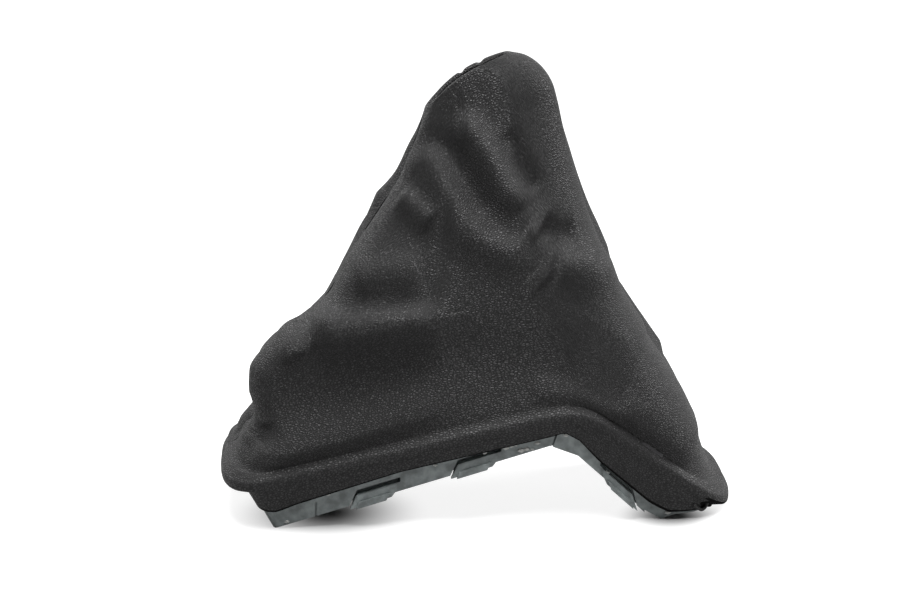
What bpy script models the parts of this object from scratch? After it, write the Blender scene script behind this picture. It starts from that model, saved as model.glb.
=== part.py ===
"""A handbrake gaiter: two leatherette panels sewn front and rear, over a moulded snap-in frame.

The driving sizes below are in millimetres. +X runs to the rear of the car, -Y to its left, and +Z up.
The part stands on the four lowest corners of its frame.
"""
import bmesh
import bpy
import numpy as np

MM = 0.001

# The frame's plan, measured at the outer edge of its lip
FRONT_REACH = 111.4
REAR_REACH = 111.4
HALF_WIDTH = 41.5
FRONT_CAP = 24.0
REAR_CAP = 33.0
FRONT_SQUARENESS = 3.1
REAR_SQUARENESS = 3.0
CROWN = 2.9

# The frame's bent side profile
BEND_X = 43.0
BEND_Z = 54.0
FRONT_SLOPE = 0.218
REAR_SLOPE = 0.735
BEND_SOFTNESS = 5.0
ARCH_X = 34.8
ARCH_Z = 36.4
ARCH_FRONT_SLOPE = 0.293
ARCH_REAR_SLOPE = 0.93
FRONT_FOOT_X = -91.0
REAR_FOOT_X = 78.5
FRONT_END_RISE = 9.0
REAR_END_RISE = 2.2
REAR_LIP_LEVEL = 4.6
REAR_LIP_SOFTNESS = 1.2

# The frame's section
WALL = 2.4
FLANGE = 2.2
FLANGE_REACH = 8.0
LIP_THICKNESS = 2.6
LIP_EDGE = 0.9
LIP_ROOT = 0.3
SIDE_LIP = 1.0
FRONT_LIP = 8.0
REAR_LIP = 6.5
# How far the wall leans in for each millimetre of its height
FRONT_LEAN = 0.62
SIDE_LEAN = 0.08
REAR_LEAN = 0.3
SIDE_WALL_HEIGHT = 17.0
SHORTEST_WALL = 0.9

# The snap tongues cut in the wall, by their middles along the length on the front and the rear arm
FRONT_TONGUES = (-47.0, -3.5)
REAR_TONGUES = (60.5,)
TONGUE_LENGTH = 25.0
TONGUE_HEIGHT = 4.2
TONGUE_LEAN = 4.4
TONGUE_DROP = 1.4
TONGUE_PROUD = 0.6
TONGUE_TIP = 1.5
TONGUE_BEVEL = 2.5
# The slot above a tongue and the leaning slit at its root end
SLOT_HEIGHT = 2.2
SLIT_WIDTH = 1.0
SLIT_FOOT = 1.2
TONGUE_TOP_GAP = 0.4
# The catch on a tongue's face, by its distances from the tongue's ends and from the wall's foot
CATCH_THICKNESS = 1.1
CATCH_FROM_ROOT = 5.0
CATCH_FROM_TIP = 6.5
CATCH_SLANT = 2.0
CATCH_LOW = -1.9
CATCH_HIGH = 0.9
# The pocket behind each tongue: its hollow, its wall, and how far it reaches past the tongue and its slot
POCKET_DEPTH = 2.4
POCKET_WALL = 1.2
POCKET_MARGIN = 1.2
POCKET_FOOT = 0.3
# Thin grooves across the wall's outer face: place along the length and lean
GROOVES = ((-72.0, 0.3), (30.5, 1.6))
GROOVE_WIDTH = 0.9
GROOVE_HEIGHT = 6.5
GROOVE_DEPTH = 1.2
# How far a cut starts below the wall's foot and outside its face, and how deep a joined piece is sunk
CUT_OVERSHOOT = 4.0
JOIN_DEPTH = 0.5

# The leatherette, its roundings below and above the lip, and how far it tucks in under the lip
LEATHER = 1.2
BAND_ROUNDING = 1.2
RIDGE_ROUNDING = 2.6
SHORTEST_BAND = 1.4
END_TUCK = 0.9
SIDE_TUCK = 0.4
SIDE_LIFT = 0.3
CLEARANCE = 0.3
SEAM_GAP = 0.3
SEAM_ALLOWANCE = 7.0
LEATHER_LOWEST = 0.8
CREASE_INSET = 2.8
CREASE_RISE = 1.2

# The lower edge of the leatherette on the frame's wall: along the length, height
LEATHER_EDGE = ((-113, 9.5), (-97, 8.0), (-88, 8.2), (-80, 11.4), (-35, 25.2), (7, 34.4), (30, 39.6),
                (35.5, 41.2), (42, 37.4), (51, 27.4), (73, 8.2), (81, 3.8), (114, 3.4))

# The front and rear seams seen from the side: along the length, height
FRONT_SEAM = ((-107.5, 27.0), (-103.5, 30.5), (-99.3, 35.0), (-95.8, 41.0), (-94.8, 50.0), (-95.6, 60.0),
              (-94.8, 68.0), (-90.0, 74.5), (-82.0, 80.5), (-73.0, 87.0), (-66.0, 92.5), (-62.6, 97.0),
              (-56.4, 107.5), (-47.6, 121.3), (-39.0, 134.0), (-32.2, 144.1), (-27.8, 155.0), (-24.3, 165.9),
              (-21.8, 175.5))
REAR_SEAM = ((106.0, 13.5), (102.4, 20.0), (99.8, 27.0), (98.2, 33.0), (95.2, 41.0), (91.0, 51.0), (83.6, 63.0),
             (76.0, 74.0), (67.8, 86.0), (61.0, 97.0), (57.0, 107.5), (52.0, 121.0), (47.6, 132.0), (43.0, 146.0),
             (40.0, 157.0), (37.0, 169.0), (35.0, 179.0), (32.6, 187.0), (28.0, 193.4), (21.6, 197.8), (14.6, 199.4))

# The mouth: its two ends in side view, how far it arches between them and its half width
MOUTH_ARCH = 0.8
MOUTH_HALF_WIDTH = 7.6
MOUTH_SQUARENESS = 2.6

# How the cover narrows from the frame to the mouth: share of the way up, share of the narrowing
TAPER = ((0.0, 0.0), (0.04, 0.02), (0.16, 0.09), (0.34, 0.19), (0.46, 0.29), (0.56, 0.4), (0.7, 0.61),
         (0.85, 0.83), (1.0, 1.0))

# The swelling of a panel beside its front and its rear seam: share of the way up, its move along the length
# and upward, the distance from the seam over which it rises, and how far it reaches
LEFT_EARS = (
    ((0.0, 0.0, 0.0, 9.0, 40.0), (0.07, 0.0, 0.0, 12.0, 40.0), (0.13, -5.0, 0.0, 14.0, 45.0),
     (0.2, -7.5, 0.0, 13.0, 50.0), (0.26, -7.0, 1.0, 13.0, 50.0), (0.31, -3.0, 4.0, 12.0, 60.0),
     (0.36, 0.5, 4.2, 12.0, 60.0), (0.42, 1.5, 3.4, 10.0, 50.0), (0.47, 0.5, 2.5, 9.0, 50.0), (0.51, -1.0, 1.0, 7.0, 40.0),
     (0.58, -2.4, 0.0, 5.0, 30.0), (0.8, -3.0, 0.0, 5.0, 24.0), (0.94, -2.0, 0.0, 5.0, 20.0),
     (1.0, 0.0, 0.0, 5.0, 20.0)),
    ((0.0, 0.0, 0.0, 9.0, 40.0), (0.1, 1.5, 0.0, 9.0, 40.0), (0.3, 1.5, 0.0, 9.0, 40.0), (0.4, -1.0, 0.0, 9.0, 30.0),
     (0.52, 0.0, 0.0, 8.0, 30.0), (0.7, 1.5, 0.0, 6.0, 25.0), (0.9, 0.5, 0.0, 6.0, 20.0), (1.0, 0.0, 0.0, 6.0, 20.0)),
)
RIGHT_EARS = (
    ((0.0, 0.0, 0.0, 9.0, 40.0), (0.03, -2.2, 0.0, 7.0, 40.0), (0.07, -4.4, 0.0, 7.0, 36.0),
     (0.1, -3.2, 0.0, 8.0, 36.0), (0.14, 0.0, -1.0, 11.0, 40.0), (0.2, -3.5, -3.0, 13.0, 45.0),
     (0.3, 1.0, -6.0, 12.0, 45.0), (0.38, 1.0, -7.0, 12.0, 45.0), (0.46, 0.0, -5.0, 9.0, 40.0),
     (0.52, -1.0, -1.0, 8.0, 30.0), (0.6, -1.6, 0.0, 6.0, 30.0), (0.7, -3.2, 0.0, 5.5, 28.0),
     (0.765, -7.0, 0.5, 5.5, 26.0), (0.83, -5.0, 0.0, 5.5, 24.0), (0.9, -3.4, 0.0, 5.0, 20.0),
     (1.0, 0.0, 0.0, 5.0, 20.0)),
    ((0.0, 0.0, 0.0, 9.0, 40.0), (0.1, 1.5, 0.0, 9.0, 40.0), (0.3, 1.2, 0.0, 9.0, 40.0), (0.42, 2.8, 0.0, 9.0, 40.0),
     (0.53, 6.0, 0.0, 8.0, 35.0), (0.62, 4.4, 0.0, 7.0, 30.0), (0.75, 3.0, 0.0, 6.0, 25.0),
     (0.9, 0.8, 0.0, 6.0, 20.0), (1.0, 0.0, 0.0, 6.0, 20.0)),
)

# Folds of the left panel: height, half width above and below the crest, and the crest seen from the side
LEFT_FOLDS = (
    (7.2, 10.5, 6.0, ((-106, 26), (-94, 29), (-78, 34), (-57, 41), (-36, 49), (-14, 58))),
    (-4.8, 20.0, 13.0, ((-100, 57), (-78, 61), (-57, 65), (-36, 68), (-16, 71))),
    (3.0, 7.0, 8.0, ((22, 62), (32, 58), (46, 50), (60, 43))),
    (4.0, 12.0, 7.0, ((58, 54), (70, 47), (82, 38), (94, 27))),
    (-3.0, 5.0, 5.0, ((-99, 44), (-97, 39), (-99, 33))),
    (8.4, 5.4, 8.5, ((-72, 86), (-56, 88), (-43, 89), (-30, 90), (-18, 92))),
    (3.4, 8.0, 10.0, ((-54, 107), (-44, 109), (-34, 110), (-24, 111))),
    (6.0, 6.0, 6.5, ((-10, 180), (-3, 169), (5, 157), (11, 146), (18, 135))),
    (-3.0, 5.5, 6.0, ((-24, 176), (-19, 166), (-11, 155), (-4, 144), (4, 134))),
    (5.4, 6.0, 8.0, ((-24, 164), (-18, 153), (-13, 143), (-7, 131), (1, 123), (12, 119), (22, 122))),
    (-2.0, 4.5, 4.5, ((11, 168), (17, 155), (25, 143))),
    (3.2, 5.0, 5.0, ((20, 129), (25, 126))),
    (-2.4, 5.5, 5.5, ((26, 129), (34, 125), (42, 126))),
    (3.0, 7.0, 8.0, ((32, 113), (40, 111), (50, 110))),
    (2.2, 5.0, 6.0, ((22, 110), (27, 105))),
    (3.4, 5.0, 6.0, ((-33, 141), (-26, 135), (-20, 130))),
    (2.4, 6.0, 6.0, ((-86, 90), (-84, 84), (-79, 74))),
    (3.0, 8.0, 8.0, ((48, 112), (60, 98), (76, 76))),
)
# Folds of the right panel, in the same order of values
RIGHT_FOLDS = (
    (5.6, 14.0, 9.0, ((-96, 33), (-70, 40), (-40, 46), (-5, 52), (38, 58))),
    (4.0, 12.0, 9.0, ((54, 54), (70, 44), (94, 24))),
    (5.6, 8.0, 13.0, ((-60, 86), (-38, 82), (-12, 86), (12, 98))),
    (4.6, 8.0, 9.0, ((-20, 170), (-14, 150), (-2, 134), (16, 122))),
    (-4.0, 7.5, 7.5, ((-8, 176), (2, 156), (12, 140), (22, 130))),
    (4.2, 8.0, 9.0, ((20, 168), (26, 146), (32, 120), (44, 98))),
    (4.2, 11.0, 10.0, ((-44, 120), (-30, 112), (-12, 110))),
    (3.4, 8.0, 9.0, ((56, 92), (68, 78), (84, 60))),
)

# Where the folds fade out: the distance from the seams, and the shares of the way up by the frame and the mouth
SEAM_FADE = 9.0
FRAME_FADE = 0.04
MOUTH_FADE = 0.1
MOUTH_CLEAR = 0.06

# How finely the forms are divided
STATIONS = 32
STATION_STEP = 9.0
STATION_TURN = 0.3
COVER_STEPS = 30
HEM_ROWS = 3
FOOT_PASSES = 3

COLOURS = {
    "leatherette": (0.032, 0.031, 0.032, 1.0),
    "plastic": (0.105, 0.122, 0.122, 1.0),
}


def ease(t):
    """A smooth rise from 0 to 1 as t goes from 0 to 1."""
    t = np.clip(t, 0.0, 1.0)
    return t * t * (3.0 - 2.0 * t)


def flow(points, at):
    """Points of a smooth curve through the given ones, with at from 0 to 1 along it."""
    points = np.array(points, float)
    along = np.concatenate([[0.0], np.cumsum(np.linalg.norm(np.diff(points, axis=0), axis=1))])
    along /= along[-1]
    slopes = np.gradient(points, along, axis=0)
    at = np.asarray(at, float)
    left = np.clip(np.searchsorted(along, at, side="right") - 1, 0, len(along) - 2)
    width = (along[left + 1] - along[left])[..., None]
    t = (at[..., None] - along[left][..., None]) / width
    return ((2 * t**3 - 3 * t**2 + 1) * points[left] + (t**3 - 2 * t**2 + t) * width * slopes[left]
            + (3 * t**2 - 2 * t**3) * points[left + 1] + (t**3 - t**2) * width * slopes[left + 1])


def table(rows, at, column=1):
    """The value of a table at a place, on straight lines between its rows."""
    rows = np.array(rows, float)
    return np.interp(at, rows[:, 0], rows[:, column])


def plan(at, front_inset=0.0, side_inset=0.0, rear_inset=0.0):
    """The left half of an outline round the frame, inset from the lip's outer edge.

    at runs from 0 in the front middle to 1 at the front corner, 2 at the rear corner and 3 in the rear middle.
    """
    front_angle = np.clip(at, 0.0, 1.0) * np.pi / 2
    rear_angle = np.clip(3.0 - at, 0.0, 1.0) * np.pi / 2
    front_x = -(FRONT_REACH - FRONT_CAP) - (FRONT_CAP - front_inset) * np.cos(front_angle) ** (2 / FRONT_SQUARENESS)
    rear_x = REAR_REACH - REAR_CAP + (REAR_CAP - rear_inset) * np.cos(rear_angle) ** (2 / REAR_SQUARENESS)
    side = np.clip(at - 1.0, 0.0, 1.0)
    x = (1.0 - side) * front_x + side * rear_x
    out = np.where(at < 1.5, np.sin(front_angle) ** (2 / FRONT_SQUARENESS), np.sin(rear_angle) ** (2 / REAR_SQUARENESS))
    return np.stack([x, -(HALF_WIDTH - side_inset) * out], axis=1)


def stations():
    """Places along the left half of the outline, closer together where it curves."""
    fine = np.linspace(0.0, 3.0, 1201)
    line = plan(fine)
    step = np.diff(line, axis=0)
    length = np.hypot(step[:, 0], step[:, 1])
    heading = np.unwrap(np.arctan2(step[:, 1], step[:, 0]))
    turning = np.abs(np.diff(heading, prepend=heading[0]))
    cost = np.concatenate([[0.0], np.cumsum(length / STATION_STEP + turning / STATION_TURN)])
    return np.interp(np.linspace(0.0, cost[-1], STATIONS), cost, fine)


def endness(at):
    """1 across the ends of the frame and 0 along its sides."""
    return 1.0 - (np.abs(plan(at)[:, 1]) / HALF_WIDTH) ** 6


def ridge_height(x, y):
    """The height of the frame's top edge, which is bent along the part and crowned across it."""
    front = BEND_Z + FRONT_SLOPE * (x - BEND_X)
    rear = BEND_Z - REAR_SLOPE * (x - BEND_X)
    bent = -BEND_SOFTNESS * np.logaddexp(-front / BEND_SOFTNESS, -rear / BEND_SOFTNESS)
    bent = REAR_LIP_SOFTNESS * np.logaddexp(bent / REAR_LIP_SOFTNESS, REAR_LIP_LEVEL / REAR_LIP_SOFTNESS)
    return bent + CROWN * (1.0 - np.clip(np.abs(y) / HALF_WIDTH, 0.0, 1.0) ** 2)


def wall_foot(x):
    """The height of the wall's lower edge: an arch between two feet, with shorter end walls."""
    arch = np.minimum(ARCH_Z + ARCH_FRONT_SLOPE * (x - ARCH_X), ARCH_Z - ARCH_REAR_SLOPE * (x - ARCH_X))
    return (np.maximum(arch, 0.0) + FRONT_END_RISE * ease((FRONT_FOOT_X - x) / 5.0)
            + REAR_END_RISE * ease((x - REAR_FOOT_X) / 2.5))


def frame_levels(at):
    """The heights of the frame's top, the underside of its lip and the foot of its wall."""
    line = plan(at)
    top = ridge_height(line[:, 0], line[:, 1]) - LEATHER - CLEARANCE
    under_lip = top - LIP_THICKNESS
    foot = wall_foot(line[:, 0])
    for _ in range(FOOT_PASSES):
        foot = wall_foot(plan(at, *wall_insets(under_lip - foot))[:, 0])
    return top, under_lip, np.minimum(foot, under_lip - SHORTEST_WALL)


def wall_insets(drop, more=0.0):
    """Insets of the wall's outer face, at the front, sides and rear, at a drop below the lip."""
    return (FRONT_LIP + FRONT_LEAN * drop + more * np.hypot(1.0, FRONT_LEAN),
            SIDE_LIP + SIDE_LEAN * drop + more * np.hypot(1.0, SIDE_LEAN),
            REAR_LIP + REAR_LEAN * drop + more * np.hypot(1.0, REAR_LEAN))


def lip_insets(more):
    """Insets that move in from the lip's edge by the same distance all round."""
    return more, more, more


def ring(at, insets, height):
    """Points all along the left half of the frame at an inset and a height."""
    line = plan(at, *insets)
    return np.concatenate([line, np.broadcast_to(height, len(line))[:, None]], axis=1)


def both_sides(points):
    """A whole ring from its left half: the points of the right half follow, mirrored."""
    right = points[-2:0:-1] * (1.0, -1.0, 1.0)
    return np.concatenate([points, right])


def new_object(name, mesh_verts, faces, colour, roughness):
    """A named object with its own Principled material, from points in millimetres."""
    mesh = bpy.data.meshes.new(name)
    mesh.from_pydata([tuple(float(c) * MM for c in p) for p in mesh_verts], [], faces)
    mesh.validate()
    work = bmesh.new()
    work.from_mesh(mesh)
    bmesh.ops.recalc_face_normals(work, faces=work.faces)
    work.to_mesh(mesh)
    work.free()
    thing = bpy.data.objects.new(name, mesh)
    bpy.context.scene.collection.objects.link(thing)
    material = bpy.data.materials.new(name)
    material.use_nodes = True
    shader = material.node_tree.nodes["Principled BSDF"]
    shader.inputs["Base Color"].default_value = COLOURS[colour]
    shader.inputs["Roughness"].default_value = roughness
    mesh.materials.append(material)
    return thing


def prism(name, outline, depth_from, depth_to):
    """A cutter or a lug: an outline in side view, extruded across the part."""
    count = len(outline)
    points = [(x, depth_from, z) for x, z in outline] + [(x, depth_to, z) for x, z in outline]
    faces = [tuple(range(count)), tuple(range(2 * count - 1, count - 1, -1))]
    faces += [(i, (i + 1) % count, (i + 1) % count + count, i + count) for i in range(count)]
    return new_object(name, points, faces, "plastic", 0.5)


def boolean(target, tool, operation):
    """Adds the tool to the target or cuts it away, and hides it from the model."""
    step = target.modifiers.new(tool.name, "BOOLEAN")
    step.operation = operation
    step.solver = "EXACT"
    step.object = tool
    tool.hide_render = True
    tool.display_type = "WIRE"


def tongue_outlines(middle, slope, forward):
    """The side views of a snap tongue, its catch, its slot and the pocket behind it, laid along the wall's foot."""
    root, tip = -TONGUE_LENGTH / 2, TONGUE_LENGTH / 2
    foot = float(wall_foot(np.array(middle)))
    high = TONGUE_HEIGHT
    slit = root + SLIT_WIDTH

    def place(along, up):
        shift = along * forward / np.hypot(1.0, slope)
        return middle + shift, foot + slope * shift + up

    body = [place(slit + SLIT_FOOT, -TONGUE_DROP), place(tip - TONGUE_TIP - TONGUE_BEVEL, -TONGUE_DROP),
            place(tip - TONGUE_TIP, TONGUE_BEVEL - TONGUE_DROP), place(tip - TONGUE_TIP, high - TONGUE_TOP_GAP),
            place(slit + TONGUE_LEAN + TONGUE_TOP_GAP, high - TONGUE_TOP_GAP)]
    catch = [place(root + CATCH_FROM_ROOT, CATCH_LOW), place(tip - CATCH_FROM_TIP, CATCH_LOW),
             place(tip - CATCH_FROM_TIP + CATCH_SLANT, CATCH_HIGH),
             place(root + CATCH_FROM_ROOT + CATCH_SLANT / 2, CATCH_HIGH)]
    slot = [place(root, -CUT_OVERSHOOT), place(slit, -CUT_OVERSHOOT), place(slit + TONGUE_LEAN, high),
            place(tip, high), place(tip, high + SLOT_HEIGHT), place(slit + TONGUE_LEAN, high + SLOT_HEIGHT)]
    inside, top = POCKET_MARGIN, high + SLOT_HEIGHT + POCKET_MARGIN
    hollow = [place(root - inside, -CUT_OVERSHOOT), place(tip + inside, -CUT_OVERSHOOT), place(tip + inside, top),
              place(root - inside, top)]
    outside = POCKET_MARGIN + POCKET_WALL
    pocket = [place(root - outside, POCKET_FOOT), place(tip + outside, POCKET_FOOT),
              place(tip + outside, top + POCKET_WALL), place(root - outside, top + POCKET_WALL)]
    return body, catch, slot, hollow, pocket


def build_frame(at):
    """The moulded ring: a flange under the leatherette, a wall with snap tongues and overhanging end lips."""
    top, under_lip, foot = frame_levels(at)
    drop = under_lip - foot
    inner = wall_insets(0.0, WALL + FLANGE_REACH)
    rings = [ring(at, inner, top), ring(at, lip_insets(LIP_EDGE), top), ring(at, lip_insets(0.0), top - LIP_EDGE),
             ring(at, lip_insets(0.0), under_lip + LIP_EDGE), ring(at, lip_insets(LIP_EDGE / 2), under_lip),
             ring(at, wall_insets(0.0), under_lip - LIP_ROOT), ring(at, wall_insets(drop), foot),
             ring(at, wall_insets(drop, WALL), foot), ring(at, wall_insets(0.0, WALL), top - FLANGE),
             ring(at, inner, top - FLANGE)]
    rings = [both_sides(one) for one in rings]
    around, section = len(rings[0]), len(rings)
    points = np.concatenate(rings)
    faces = []
    for k in range(section):
        for i in range(around):
            j, m = (i + 1) % around, (k + 1) % section
            faces.append((k * around + i, k * around + j, m * around + j, m * around + i))
    frame = new_object("frame", points, faces, "plastic", 0.48)
    face = HALF_WIDTH - SIDE_LIP - SIDE_LEAN * SIDE_WALL_HEIGHT
    behind = face - WALL
    outside = face + CUT_OVERSHOOT
    for number, (x, lean) in enumerate(GROOVES):
        low = float(wall_foot(np.array(x)))
        outline = [(x - lean, low - CUT_OVERSHOOT), (x - lean + GROOVE_WIDTH, low - CUT_OVERSHOOT),
                   (x + lean + GROOVE_WIDTH, low + GROOVE_HEIGHT), (x + lean, low + GROOVE_HEIGHT)]
        for side, label in ((-1, "left"), (1, "right")):
            tool = prism(f"groove_{number}_{label}", outline, side * (face - GROOVE_DEPTH), side * outside)
            boolean(frame, tool, "DIFFERENCE")
    places = [(x, ARCH_FRONT_SLOPE, 1) for x in FRONT_TONGUES] + [(x, -ARCH_REAR_SLOPE, -1) for x in REAR_TONGUES]
    for number, (middle, slope, forward) in enumerate(places):
        body, catch, slot, hollow, pocket = tongue_outlines(middle, slope, forward)
        proud = face + TONGUE_PROUD
        for side, label in ((-1, "left"), (1, "right")):
            steps = (
                ("pocket", pocket, behind + JOIN_DEPTH, behind - POCKET_DEPTH - POCKET_WALL, "UNION"),
                ("hollow", hollow, behind - TONGUE_TOP_GAP, behind - POCKET_DEPTH, "DIFFERENCE"),
                ("tongue", body, behind + JOIN_DEPTH, proud, "UNION"),
                ("catch", catch, proud - JOIN_DEPTH, proud + CATCH_THICKNESS, "UNION"),
                ("slot", slot, behind - POCKET_DEPTH / 2, outside, "DIFFERENCE"),
            )
            for word, outline, inner, outer, operation in steps:
                tool = prism(f"{word}_{number}_{label}", outline, side * inner, side * outer)
                boolean(frame, tool, operation)
    return frame


def fold_relief(folds, x, z):
    """How far the folds push the cover out at places seen from the side."""
    total = np.zeros_like(x)
    for height, above, below, crest in folds:
        crest = np.array(crest, float)
        lengths = np.linalg.norm(np.diff(crest, axis=0), axis=1)
        starts = np.concatenate([[0.0], np.cumsum(lengths)])
        best = np.full(x.shape, np.inf)
        signed = np.zeros_like(x)
        share = np.zeros_like(x)
        for k, length in enumerate(lengths):
            step = (crest[k + 1] - crest[k]) / length
            dx, dz = x - crest[k, 0], z - crest[k, 1]
            along = np.clip(dx * step[0] + dz * step[1], 0.0, length)
            off_x, off_z = dx - along * step[0], dz - along * step[1]
            gap = np.hypot(off_x, off_z)
            nearer = gap < best
            best = np.where(nearer, gap, best)
            upward = step[0] if abs(step[0]) > abs(step[1]) * 0.5 else 1.0
            side = np.sign(upward) * (step[0] * off_z - step[1] * off_x)
            signed = np.where(nearer, side, signed)
            share = np.where(nearer, (starts[k] + along) / starts[-1], share)
        width = np.where(signed > 0, above, below)
        fade = ease((share + 0.08) / 0.25) * ease((1.08 - share) / 0.25)
        total += height * fade * np.exp(-((best / width) ** 2))
    return total


def mouth_line(share):
    """The mouth's outer edge: a slanted, slightly arched oval, from its front to its rear end."""
    angle = np.pi * share
    share_x = 0.5 - 0.5 * np.sign(np.cos(angle)) * np.abs(np.cos(angle)) ** (2 / MOUTH_SQUARENESS)
    share_y = np.sin(angle) ** (2 / MOUTH_SQUARENESS)
    share_y[-1] = 0.0
    front, rear = np.array(FRONT_SEAM[-1]), np.array(REAR_SEAM[-1])
    chord = rear - front
    up = np.array((-chord[1], chord[0])) / np.linalg.norm(chord)
    arch = MOUTH_ARCH * (1.0 - (2.0 * share_x - 1.0) ** 2)
    side_view = front + share_x[:, None] * chord + arch[:, None] * up
    return side_view[:, 0], side_view[:, 1], -MOUTH_HALF_WIDTH * share_y


def cover_rows(at, ears, folds, steps):
    """The cover's face from the crease above the frame to the mouth: one row of points for each step up."""
    line = plan(at)
    cover = LEATHER + CLEARANCE
    crease = plan(at, *lip_insets(CREASE_INSET - cover))
    crease_z = ridge_height(line[:, 0], line[:, 1]) + CREASE_RISE * (1.0 + endness(at))
    share_x = (crease[:, 0] - crease[0, 0]) / (crease[-1, 0] - crease[0, 0])
    mouth_x, mouth_z, mouth_y = mouth_line(np.linspace(0.0, 1.0, len(at)))
    front = flow(((crease[0, 0], crease_z[0]),) + FRONT_SEAM, steps)
    rear = flow(((crease[-1, 0], crease_z[-1]),) + REAR_SEAM, steps)
    rows = []
    for k, v in enumerate(steps):
        corners = [(1 - v) * np.array((crease[i, 0], crease_z[i])) + v * np.array((mouth_x[i], mouth_z[i]))
                   for i in (0, -1)]
        x = (1 - v) * crease[:, 0] + v * mouth_x
        z = (1 - v) * crease_z + v * mouth_z
        x += (1 - share_x) * (front[k, 0] - corners[0][0]) + share_x * (rear[k, 0] - corners[1][0])
        z += (1 - share_x) * (front[k, 1] - corners[0][1]) + share_x * (rear[k, 1] - corners[1][1])
        narrowing = table(TAPER, v)
        y = (1 - narrowing) * crease[:, 1] + narrowing * mouth_y
        row = np.stack([x, y, z], axis=1)
        lengths = np.linalg.norm(np.diff(row, axis=0), axis=1)
        along = np.concatenate([[0.0], np.cumsum(lengths)])
        for ear, gap in ((ears[0], along), (ears[1], along[-1] - along)):
            forward, up, rise, reach = (table(ear, v, column) for column in (1, 2, 3, 4))
            swell = (1.0 - np.exp(-((gap / rise) ** 2))) * np.exp(-((gap / reach) ** 2))
            row[:, 0] += forward * swell
            row[:, 2] += up * swell
        rows.append(row)
    rows = np.array(rows)
    relief = fold_relief(folds, rows[:, :, 0], rows[:, :, 2])
    edge = ease(np.abs(rows[:, :, 1]) / SEAM_FADE)
    near_frame = ease(np.array(steps) / FRAME_FADE)[:, None]
    near_mouth = ease((1.0 - MOUTH_CLEAR - np.array(steps)) / MOUTH_FADE)[:, None]
    rows += grid_normals(rows) * (relief * edge * near_frame * near_mouth)[:, :, None]
    return rows


def grid_normals(rows):
    """Outward normals of a grid of points whose columns run rearward on the left side."""
    across = np.gradient(rows, axis=1)
    upward = np.gradient(rows, axis=0)
    normals = np.cross(across, upward)
    return normals / np.maximum(np.linalg.norm(normals, axis=2), 1e-9)[:, :, None]


def band_rows(at):
    """The strip of the cover that wraps over the lip and down the frame's wall, from its lower edge up."""
    top, under_lip, foot = frame_levels(at)
    cover = LEATHER + CLEARANCE
    under = under_lip - cover + SIDE_LIFT * (1.0 - endness(at))
    edge = np.minimum(table(LEATHER_EDGE, plan(at, *wall_insets(under_lip - foot))[:, 0]), under - SHORTEST_BAND)
    edge = np.maximum(edge, LEATHER_LOWEST)
    rows = []
    for share in (0.0, 0.5, 0.9):
        height = edge + share * (under - edge)
        rows.append(ring(at, wall_insets(under_lip - height, -cover), height))
    rows.append(ring(at, (END_TUCK - cover, SIDE_TUCK - cover, END_TUCK - cover), under))
    rows.append(ring(at, lip_insets(-cover), under + BAND_ROUNDING))
    for angle in np.radians((0.0, 30.0, 60.0)):
        inset = RIDGE_ROUNDING * (1.0 - np.cos(angle)) - cover
        rows.append(ring(at, lip_insets(inset), top + cover - RIDGE_ROUNDING * (1.0 - np.sin(angle))))
    return np.array(rows)


def hem_rows(rows):
    """The hem at the mouth: the cover turns in over itself and runs back down inside."""
    normals = grid_normals(rows)
    rim, outward = rows[-1], normals[-1]
    up = rim - rows[-2]
    up -= outward * (outward * up).sum(1)[:, None]
    up /= np.linalg.norm(up, axis=1)[:, None]
    radius = LEATHER + CLEARANCE / 2
    turn = [rim + outward * radius * (np.cos(angle) - 1.0) + up * radius * np.sin(angle)
            for angle in np.radians((50.0, 90.0, 130.0))]
    back = [rows[-1 - k] - 2.0 * radius * normals[-1 - k] for k in range(HEM_ROWS)]
    return np.array(turn + back)


def nearer_diagonal(rows, folds):
    """Whether each quad's rising diagonal lies nearer the folded surface than its falling one."""
    relief = fold_relief(folds, rows[:, :, 0], rows[:, :, 2])
    middle = (rows[:-1, :-1] + rows[1:, :-1] + rows[:-1, 1:] + rows[1:, 1:]) / 4.0
    wanted = fold_relief(folds, middle[:, :, 0], middle[:, :, 2])
    rising = (relief[:-1, :-1] + relief[1:, 1:]) / 2.0
    falling = (relief[1:, :-1] + relief[:-1, 1:]) / 2.0
    return np.abs(rising - wanted) <= np.abs(falling - wanted)


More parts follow.
